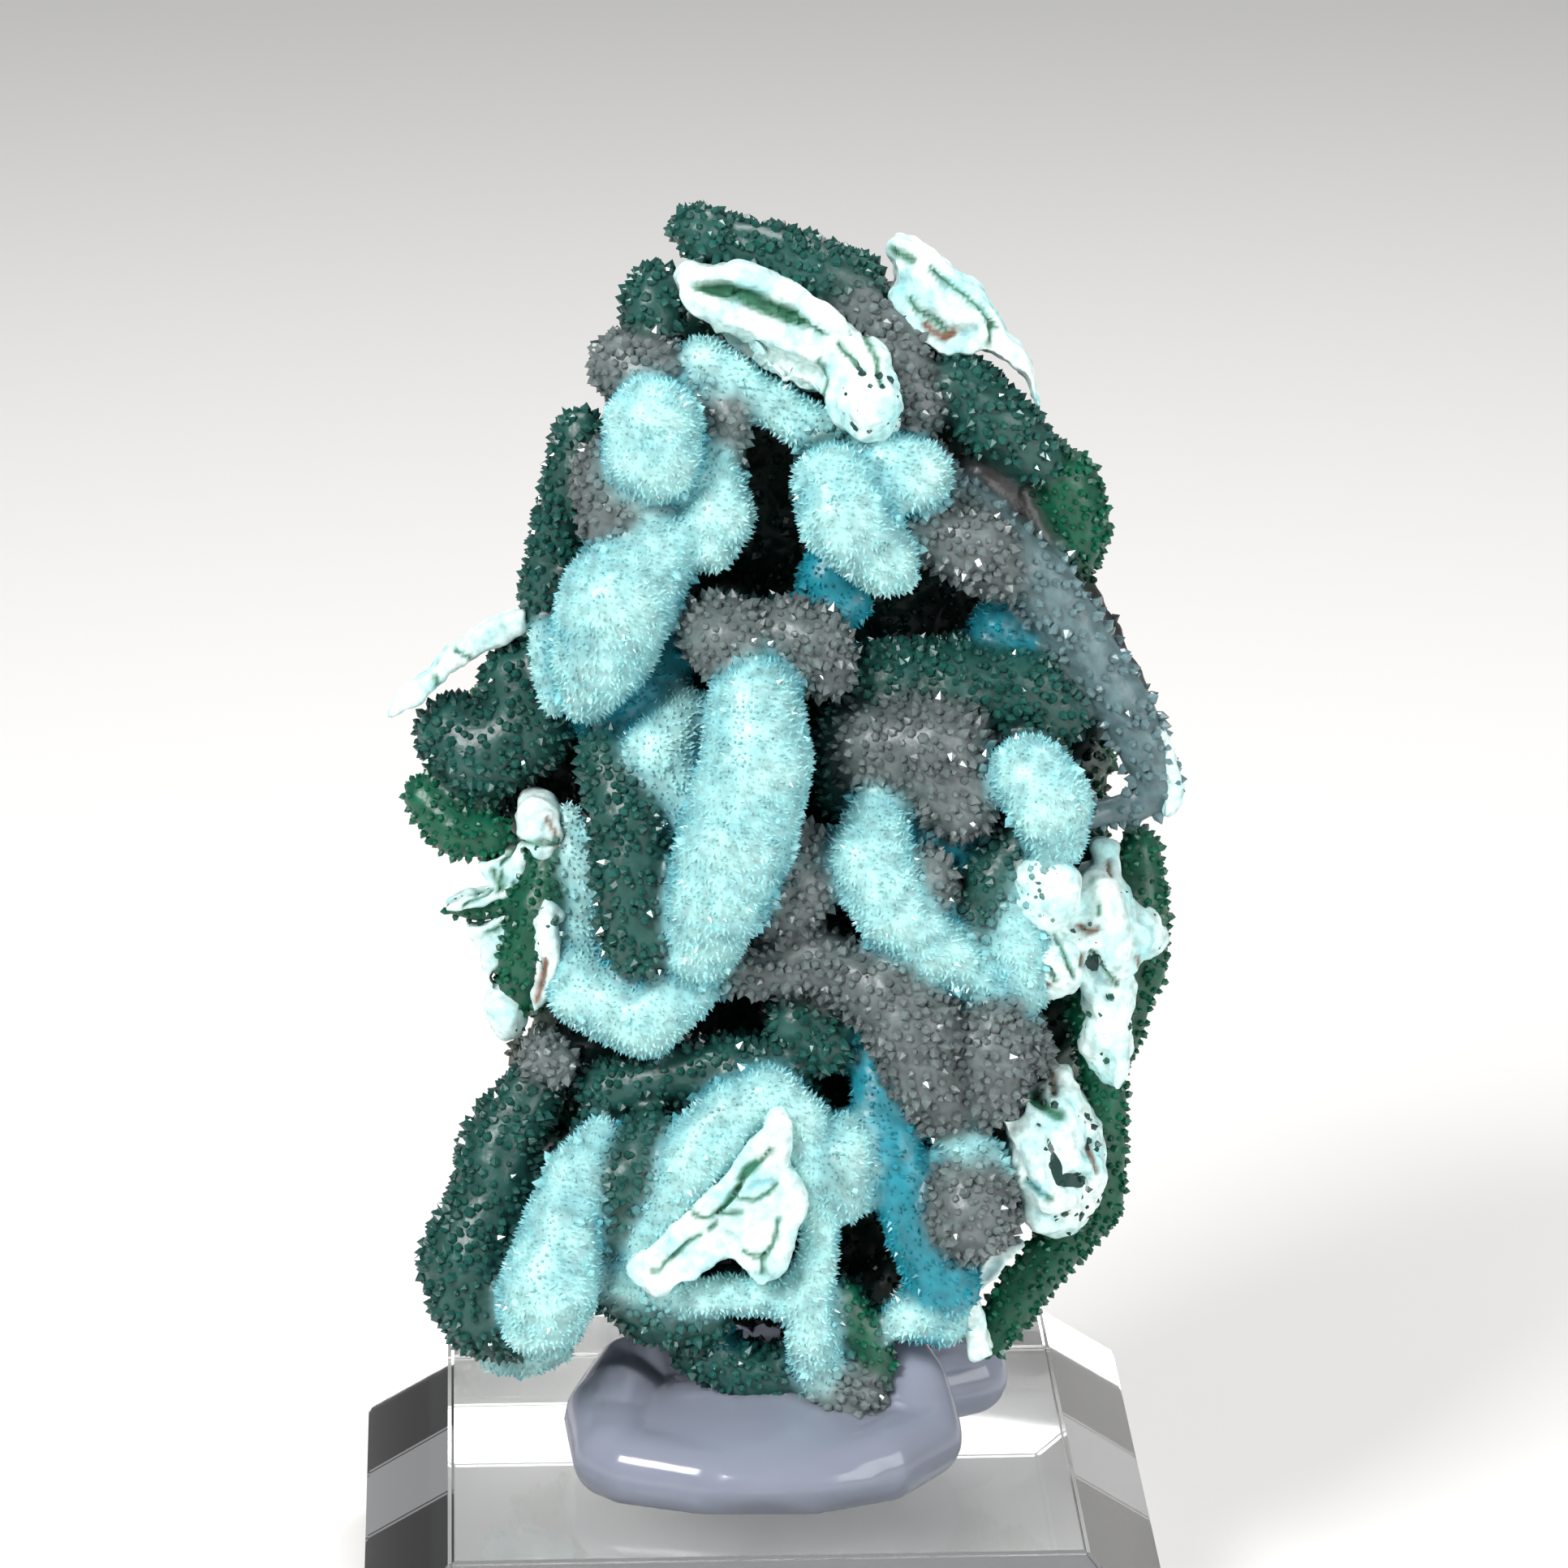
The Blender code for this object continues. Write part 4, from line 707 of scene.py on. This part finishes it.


# Colours and crystal masks of the body, from the distance to each mineral's growths, with painted light and
# shade: lighter on bulges and front faces, darker in hollows
def paintBody(body):
    settings = {
        "warp": 0.5, "blend": 0.35, "rockDistance": 1.0, "smoothing": 30, "backStarts": 8, "backOver": 4,
    }
    mesh = body.data
    points = coordsOf(mesh)
    normals = normalsOf(mesh)
    place = np.stack([points[:, 0], points[:, 2], -points[:, 1]], axis=1) / mm
    warp = noiseOf(points, 2.5)
    patches = noiseOf(points, 6, 2, 5)
    reach = []
    for i, runs in enumerate(growths.values()):
        reach.append(distanceTo(place, runs) + warp * settings["warp"] * (1 if i % 2 else -1))
    reach.append(np.full(len(place), settings["rockDistance"]))
    reach = np.array(reach)
    weights = np.exp(-(reach - reach.min(axis=0)) / settings["blend"])
    weights /= weights.sum(axis=0)
    share = dict(zip([*growths, "rock"], weights))
    standing = standingOut(mesh, points, normals, settings["smoothing"])
    # frost: partly the real quartz frosting on exposed bulges, partly painted light and shade: lighter where
    # the surface stands out and where it faces the front, darker in hollows and on faces turned away
    frost = np.clip(0.5 + 0.45 * standing / 0.5 + 0.4 * (-normals[:, 1] - 0.5) + warp * 0.2, 0, 1)[:, None]
    backness = np.clip((-place[:, 2] - settings["backStarts"]) / settings["backOver"], 0, 1)[:, None]
    greens = np.clip(0.5 + patches * 1.6, 0, 1)[:, None]
    back = tints["rockBack"] * (1 - greens) + tints["green"] * greens
    # Blue growths: deep blue in hollows as painted shade, pale frosted blue on bulges and front faces as real
    # frost with painted light
    frostedBlueLightAndShade = tints["deep"] * 1.3 * (1 - frost) + tints["blue"] * frost
    shades = {"blue": frostedBlueLightAndShade, "ice": frostedBlueLightAndShade, "rock": tints["rockFront"] * (1 - backness) + back * backness}
    # Grey, teal and green as lit and shaded copies: painted light on bulges and front faces, painted shade in
    # hollows
    for name in ("grey", "teal", "green"):
        shades[name] = tints[name] * (0.55 + 0.9 * frost)
    colours = sum(weight[:, None] * shades.get(name, tints.get(name)) for name, weight in share.items())
    storeColour(mesh, "tint", colours)
    storeValue(mesh, "sugar", share["blue"] + share["ice"] + 0.6 * share["deep"])
    pointed = share["grey"] + 0.9 * share["teal"] + 0.5 * share["chalcedony"] + 0.25 * share["rock"]
    storeValue(mesh, "points", pointed)
    storeValue(mesh, "grains", share["green"] + 0.3 * share["teal"] + 0.5 * share["rock"])
    print("body painted")


# The pale altered crusts and lumps, with their seams and cracks
def buildCrusts():
    settings = {
        "voxel": 0.3, "rounding": 5, "swells": (0.5, 2.6), "proud": 0.7, "swollen": 0.5,
        "narrowest": 0.22, "pushLimits": (-1.6, 1), "reachBehind": 2.5,
    }
    meshes = []
    for name, crust in paleCrusts.items():
        meshes.append(slabMesh(name, crust["front"] + settings["proud"], crust["thick"], crust["outline"]))
    rows = [lumpRow(*lump, settings["swollen"]) for name, lump in lumps.items() if name != "blueBall"]
    meshes.append(ballMesh("paleLumps", rows))
    crusts = joinedObject("paleCrusts", meshes)
    voxels(crusts, settings["voxel"])
    relaxed(crusts, settings["rounding"])
    roughened(crusts, *settings["swells"], False)
    points = coordsOf(crusts.data)
    normals = normalsOf(crusts.data)
    place = np.stack([points[:, 0], points[:, 2]], axis=1) / mm
    push = np.zeros(len(points))
    mottle = np.clip(0.35 + noiseOf(points, 3.2, 3, 9) * 0.9, 0, 1)[:, None]
    colours = tints["pale"] * (1 - mottle) + tints["paleBlue"] * mottle
    strokeTints = {
        "green": ("seamGreen", 0.95), "crack": ("seamGreen", 0.95), "brown": ("brown", 0.95),
        "blue": ("deep", 0.5),
    }
    for crust in paleCrusts.values():
        near = (-points[:, 1] / mm > crust["front"] - settings["reachBehind"]) & (-normals[:, 1] > -0.2)
        for kind, depth, width, line in crust["strokes"]:
            gap = np.full(len(points), 1e3)
            for distance, t in stretches(place, line):
                gap = np.minimum(gap, distance)
            share = np.clip(1.4 - gap / max(width, settings["narrowest"]), 0, 1) * near
            push += depth * share
            if kind in strokeTints:
                tint, strength = strokeTints[kind]
                mix = share[:, None] * strength
                colours = colours * (1 - mix) + tints[tint] * mix
    moveTo(crusts.data, points + normals * (np.clip(push, *settings["pushLimits"]) * mm)[:, None])
    storeColour(crusts.data, "tint", colours)
    print("pale crusts", len(crusts.data.polygons), "faces")
    return crusts


# A unit crystal that stands on the surface along z, with a point over its shoulder
def crystalShape(name, sides, shoulder, sunk):
    bm = bmesh.new()
    loops = []
    for height in [sunk, shoulder] if shoulder > 0 else [sunk]:
        turns = [2 * math.pi * i / sides for i in range(sides)]
        loops.append([bm.verts.new((0.5 * math.cos(t), 0.5 * math.sin(t), height)) for t in turns])
    tip = bm.verts.new((0.06, 0.04, 1))
    bm.faces.new(loops[0])
    for i in range(sides):
        j = (i + 1) % sides
        if len(loops) > 1:
            bm.faces.new([loops[0][i], loops[0][j], loops[1][j], loops[1][i]])
        bm.faces.new([loops[-1][i], loops[-1][j], tip])
    bmesh.ops.recalc_face_normals(bm, faces=bm.faces)
    return newObject(name, meshFrom(bm, name))


# The tree that scatters one crystal over a surface, as densely as a stored value says
def scatterTree(name, settings, shape, material):
    tree = bpy.data.node_groups.new(name, "GeometryNodeTree")
    tree.interface.new_socket("Geometry", in_out="INPUT", socket_type="NodeSocketGeometry")
    tree.interface.new_socket("Geometry", in_out="OUTPUT", socket_type="NodeSocketGeometry")
    sockets = {
        label: tree.interface.new_socket(label, in_out="INPUT", socket_type="NodeSocketFloat")
        for label in ("Spacing", "Smallest", "Largest")
    }
    start = tree.nodes.new("NodeGroupInput")
    end = tree.nodes.new("NodeGroupOutput")
    spread = tree.nodes.new("GeometryNodeDistributePointsOnFaces")
    spread.distribute_method = "POISSON"
    spread.inputs["Density Max"].default_value = 1.6 / (settings["spacing"] * mm) ** 2
    spread.inputs["Seed"].default_value = settings["seed"]
    mask = tree.nodes.new("GeometryNodeInputNamedAttribute")
    mask.data_type = "FLOAT"
    mask.inputs["Name"].default_value = settings["mask"]
    shapeInfo = tree.nodes.new("GeometryNodeObjectInfo")
    shapeInfo.inputs["Object"].default_value = shape
    place = tree.nodes.new("GeometryNodeInstanceOnPoints")
    tilt = tree.nodes.new("FunctionNodeRandomValue")
    tilt.data_type = "FLOAT_VECTOR"
    tilt.inputs["Min"].default_value = (-0.5, -0.5, -3.1)
    tilt.inputs["Max"].default_value = (0.5, 0.5, 3.1)
    tilt.inputs["Seed"].default_value = settings["seed"] + 1
    turned = tree.nodes.new("FunctionNodeRotateEuler")
    turned.rotation_type = "EULER"
    turned.space = "LOCAL"
    size = tree.nodes.new("FunctionNodeRandomValue")
    size.inputs["Seed"].default_value = settings["seed"] + 2
    real = tree.nodes.new("GeometryNodeRealizeInstances")
    paint = tree.nodes.new("GeometryNodeSetMaterial")
    paint.inputs["Material"].default_value = material
    for source, target in (
        (start.outputs["Geometry"], spread.inputs["Mesh"]),
        (start.outputs["Spacing"], spread.inputs["Distance Min"]),
        (mask.outputs["Attribute"], spread.inputs["Density Factor"]),
        (spread.outputs["Points"], place.inputs["Points"]),
        (shapeInfo.outputs["Geometry"], place.inputs["Instance"]),
        (spread.outputs["Rotation"], turned.inputs["Rotation"]),
        (tilt.outputs["Value"], turned.inputs["Rotate By"]),
        (turned.outputs["Rotation"], place.inputs["Rotation"]),
        (start.outputs["Smallest"], size.inputs[2]),
        (start.outputs["Largest"], size.inputs[3]),
        (size.outputs[1], place.inputs["Scale"]),
        (place.outputs["Instances"], real.inputs["Geometry"]),
        (real.outputs["Geometry"], paint.inputs["Geometry"]),
        (paint.outputs["Geometry"], end.inputs["Geometry"]),
    ):
        tree.links.new(source, target)
    return tree, sockets


def scattered(name, source, settings, material):
    shape = crystalShape(name + "Shape", *settings["shape"])
    tree, sockets = scatterTree(name, settings, shape, material)
    holder = newObject(name, source.data.copy())
    growing = holder.modifiers.new("scatter", "NODES")
    growing.node_group = tree
    smallest, largest = settings["sizes"]
    for label, size in (("Spacing", settings["spacing"]), ("Smallest", smallest), ("Largest", largest)):
        growing[sockets[label].identifier] = size * mm
    applied(holder)
    bpy.data.objects.remove(shape)
    print(name, len(holder.data.polygons), "faces")
    return holder


# A stored colour made lighter and darker by a fine speckle
def speckleGroup():
    group = bpy.data.node_groups.new("speckledTint", "ShaderNodeTree")
    for label, kind in (("Tint", "Color"), ("Coordinates", "Vector"), ("Scale", "Float"), ("Gain", "Float")):
        group.interface.new_socket(label, in_out="INPUT", socket_type="NodeSocket" + kind)
    for label, kind in (("Colour", "Vector"), ("Speckle", "Float")):
        group.interface.new_socket(label, in_out="OUTPUT", socket_type="NodeSocket" + kind)
    start = group.nodes.new("NodeGroupInput")
    end = group.nodes.new("NodeGroupOutput")
    speckle = group.nodes.new("ShaderNodeTexNoise")
    shade = group.nodes.new("ShaderNodeMapRange")
    for label, value in (("From Min", 0.3), ("From Max", 0.7), ("To Min", 0.75), ("To Max", 1.25)):
        shade.inputs[label].default_value = value
    gained = group.nodes.new("ShaderNodeMath")
    gained.operation = "MULTIPLY"
    scaled = group.nodes.new("ShaderNodeVectorMath")
    scaled.operation = "SCALE"
    for source, target in (
        (start.outputs["Coordinates"], speckle.inputs["Vector"]),
        (start.outputs["Scale"], speckle.inputs["Scale"]),
        (speckle.outputs["Fac"], shade.inputs["Value"]),
        (shade.outputs["Result"], gained.inputs[0]),
        (start.outputs["Gain"], gained.inputs[1]),
        (start.outputs["Tint"], scaled.inputs[0]),
        (gained.outputs["Value"], scaled.inputs["Scale"]),
        (scaled.outputs["Vector"], end.inputs["Colour"]),
        (speckle.outputs["Fac"], end.inputs["Speckle"]),
    ):
        group.links.new(source, target)
    return group


def plainMaterial(name, colour, rough, transmission=0.0, ior=1.5):
    made = bpy.data.materials.new(name)
    made.use_nodes = True
    shader = made.node_tree.nodes["Principled BSDF"]
    shader.inputs["Base Color"].default_value = (*colour, 1)
    shader.inputs["Roughness"].default_value = rough
    shader.inputs["Transmission Weight"].default_value = transmission
    shader.inputs["IOR"].default_value = ior
    return made


def tintedMaterial(name, rough, transmission=0.0, gain=1.0, ior=1.5, bump=0.0, speckleScale=900):
    made = plainMaterial(name, (1, 1, 1), rough, transmission, ior)
    nodes = made.node_tree.nodes
    links = made.node_tree.links
    shader = nodes["Principled BSDF"]
    tint = nodes.new("ShaderNodeAttribute")
    tint.attribute_name = "tint"
    coords = nodes.new("ShaderNodeTexCoord")
    speckle = nodes.new("ShaderNodeGroup")
    speckle.node_tree = speckledTint
    speckle.inputs["Scale"].default_value = speckleScale
    speckle.inputs["Gain"].default_value = gain
    links.new(tint.outputs["Color"], speckle.inputs["Tint"])
    links.new(coords.outputs["Object"], speckle.inputs["Coordinates"])
    links.new(speckle.outputs["Colour"], shader.inputs["Base Color"])
    if bump:
        relief = nodes.new("ShaderNodeBump")
        relief.inputs["Strength"].default_value = bump
        relief.inputs["Distance"].default_value = 0.0002
        links.new(speckle.outputs["Speckle"], relief.inputs["Height"])
        links.new(relief.outputs["Normal"], shader.inputs["Normal"])
    return made


def shown(piece, material, node=None, smooth=True):
    piece.data.materials.clear()
    piece.data.materials.append(material)
    piece.data.polygons.foreach_set("use_smooth", [smooth] * len(piece.data.polygons))
    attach(piece, "root")
    if node:
        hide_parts(node)


# The specimen. Crystal shapes are (sides, shoulder, sunk), and their spacing and sizes are in mm.
sugarCrystals = {"mask": "sugar", "shape": (4, 0, -0.3), "spacing": 0.34, "sizes": (0.26, 0.52), "seed": 11}
quartzCrystals = {
    "mask": "points", "shape": (6, 0.35, -0.4), "spacing": 0.68, "sizes": (0.5, 0.95), "seed": 21,
}
greenGrains = {"mask": "grains", "shape": (5, 0.45, -0.4), "spacing": 0.66, "sizes": (0.38, 0.7), "seed": 31}
speckledTint = speckleGroup()
rockFinish = tintedMaterial("mineralRock", 0.38, bump=0.6)
crustFinish = tintedMaterial("paleCrust", 0.62, bump=0.35, speckleScale=1400)
sugarFinish = tintedMaterial("blueSugar", 0.22, gain=1.15)
quartzFinish = tintedMaterial("drusyQuartz", 0.08, transmission=0.2, gain=1.5, ior=1.54)
grainFinish = tintedMaterial("malachiteGrain", 0.28, gain=1.2)
body = buildBody()
paintBody(body)
crusts = buildCrusts()
# The crystals carry the body's stored tint, with its painted light and shade
frost = scattered("blueFrost", body, sugarCrystals, sugarFinish)
quartz = scattered("quartzPoints", body, quartzCrystals, quartzFinish)
grains = scattered("malachiteGrains", body, greenGrains, grainFinish)
for piece, finish, node, smooth in (
    (body, rockFinish, "specimen", True),
    (crusts, crustFinish, None, True),
    (frost, sugarFinish, None, False),
    (quartz, quartzFinish, None, False),
    (grains, grainFinish, None, False),
):
    piece.data.transform(toWorld)
    shown(piece, finish, node, smooth)

# The pad of tack: a flat middle as (x, y, z) and half sizes, and rolls of (x, y, z, radius), in mm
tackShape = {
    "middle": ((0.6, -8, 22.6), (15.2, 11, 4.2)),
    "frontRoll": [
        (-10, -13.5, 22.6, 3.2), (-4, -15.3, 22.3, 3.1), (4, -15.3, 22.3, 3.1), (10, -13, 22.8, 3.3),
        (13.2, -9, 23.2, 3.4),
    ],
    "leftRoll": [(-11.3, -12, 22.9, 3.5), (-11.6, -6, 23.6, 4), (-10, 0, 24.6, 3.6)],
    "rightHorn": [(13, -8, 23.6, 3.5), (12.8, -6, 26.6, 2.7), (12.2, -4.5, 28.8, 1.7)],
    "sideLobe": [(11, 1, 23, 3.2), (17.3, 3.5, 23.3, 3.3)],
    "backRoll": [(-8, 3, 23.5, 4), (2, 6.5, 23.5, 4.4), (10, 3, 23.5, 3.8)],
    "underside": 20.3,
    "voxel": 0.4,
    "rounding": 12,
}


def buildTack():
    centre, halves = tackShape["middle"]
    rows = [[*(Vector(centre) * mm), *(Vector(halves) * mm)]]
    for roll in ("frontRoll", "leftRoll", "rightHorn", "sideLobe", "backRoll"):
        rows += fingerRows(tackShape[roll], False)
    tack = newObject("puttyPad", ballMesh("puttyPad", rows))
    voxels(tack, tackShape["voxel"])
    relaxed(tack, tackShape["rounding"])
    points = coordsOf(tack.data)
    points[:, 2] = np.maximum(points[:, 2], tackShape["underside"] * mm)
    moveTo(tack.data, points)
    return tack


tackFinish = plainMaterial("mineralTack", linear(172, 178, 196), 0.14, 0.5, 1.45)
shown(buildTack(), tackFinish, "mineral_tack")

# The base, in metres, with broken edges
baseShape = {"side": 0.064, "height": 0.02, "bevel": 0.007, "edge": 0.0003, "turnDegrees": 2.5}


def buildBase():
    side = baseShape["side"]
    height = baseShape["height"]
    bm = bmesh.new()
    bmesh.ops.create_cube(bm, size=1)
    lift = Matrix.Translation((0, 0, height / 2))
    bmesh.ops.transform(bm, matrix=lift @ Matrix.Diagonal((side, side, height, 1)), verts=bm.verts)
    top = [edge for edge in bm.edges if all(v.co.z > height / 2 for v in edge.verts)]
    for edges, width, segments in ((top, baseShape["bevel"], 1), (None, baseShape["edge"], 2)):
        broken = edges or bm.edges[:]
        bmesh.ops.bevel(
            bm, geom=broken, offset=width, offset_type="OFFSET", segments=segments, affect="EDGES"
        )
    turn = Matrix.Rotation(math.radians(baseShape["turnDegrees"]), 4, "Z")
    bmesh.ops.transform(bm, matrix=turn, verts=bm.verts)
    return newObject("clearBase", meshFrom(bm, "clearBase"))


acrylic = plainMaterial("clearAcrylic", (0.97, 0.98, 0.98), 0.02, 1.0, 1.49)
shown(buildBase(), acrylic, "acrylic_base", False)
print("tack and base")

# The studio
bpy.ops.mesh.primitive_plane_add(size=4, location=(0, 0, -0.0002))
floor = bpy.context.object
floor.name = "studioFloor"
floor.data.materials.append(plainMaterial("paleFloor", (0.78, 0.77, 0.75), 0.6))


# A square lamp of a size in metres and a power in watts, aimed at the specimen
def areaLight(name, place, aim, size, power):
    lamp = bpy.data.lights.new(name, "AREA")
    lamp.size = size
    lamp.energy = power
    made = newObject(name, lamp)
    made.location = place
    made.rotation_euler = (Vector(aim) - Vector(place)).to_track_quat("-Z", "Y").to_euler()


areaLight("keyLight", (-0.35, -0.45, 0.55), (0, 0, 0.07), 0.25, 6)
areaLight("fillLight", (0.5, -0.4, 0.3), (0, 0, 0.07), 0.4, 2.5)
areaLight("topLight", (0.05, 0.25, 0.6), (0, 0, 0.08), 0.3, 2.5)
world = bpy.data.worlds.new("studio")
world.use_nodes = True
world.node_tree.nodes["Background"].inputs["Color"].default_value = (0.97, 0.98, 1, 1)
world.node_tree.nodes["Background"].inputs["Strength"].default_value = 0.3
scene = bpy.context.scene
scene.world = world
scene.view_settings.view_transform = "Standard"
cameraData = bpy.data.cameras.new("camera")
cameraData.lens = 167.3
cameraData.sensor_width = 36
camera = newObject("camera", cameraData)
camera.location = [value * mm for value in photoCamera["place"]]
camera.rotation_euler = (math.radians(90 - photoCamera["pitch"]), 0, 0)
scene.camera = camera
print("studio and camera")
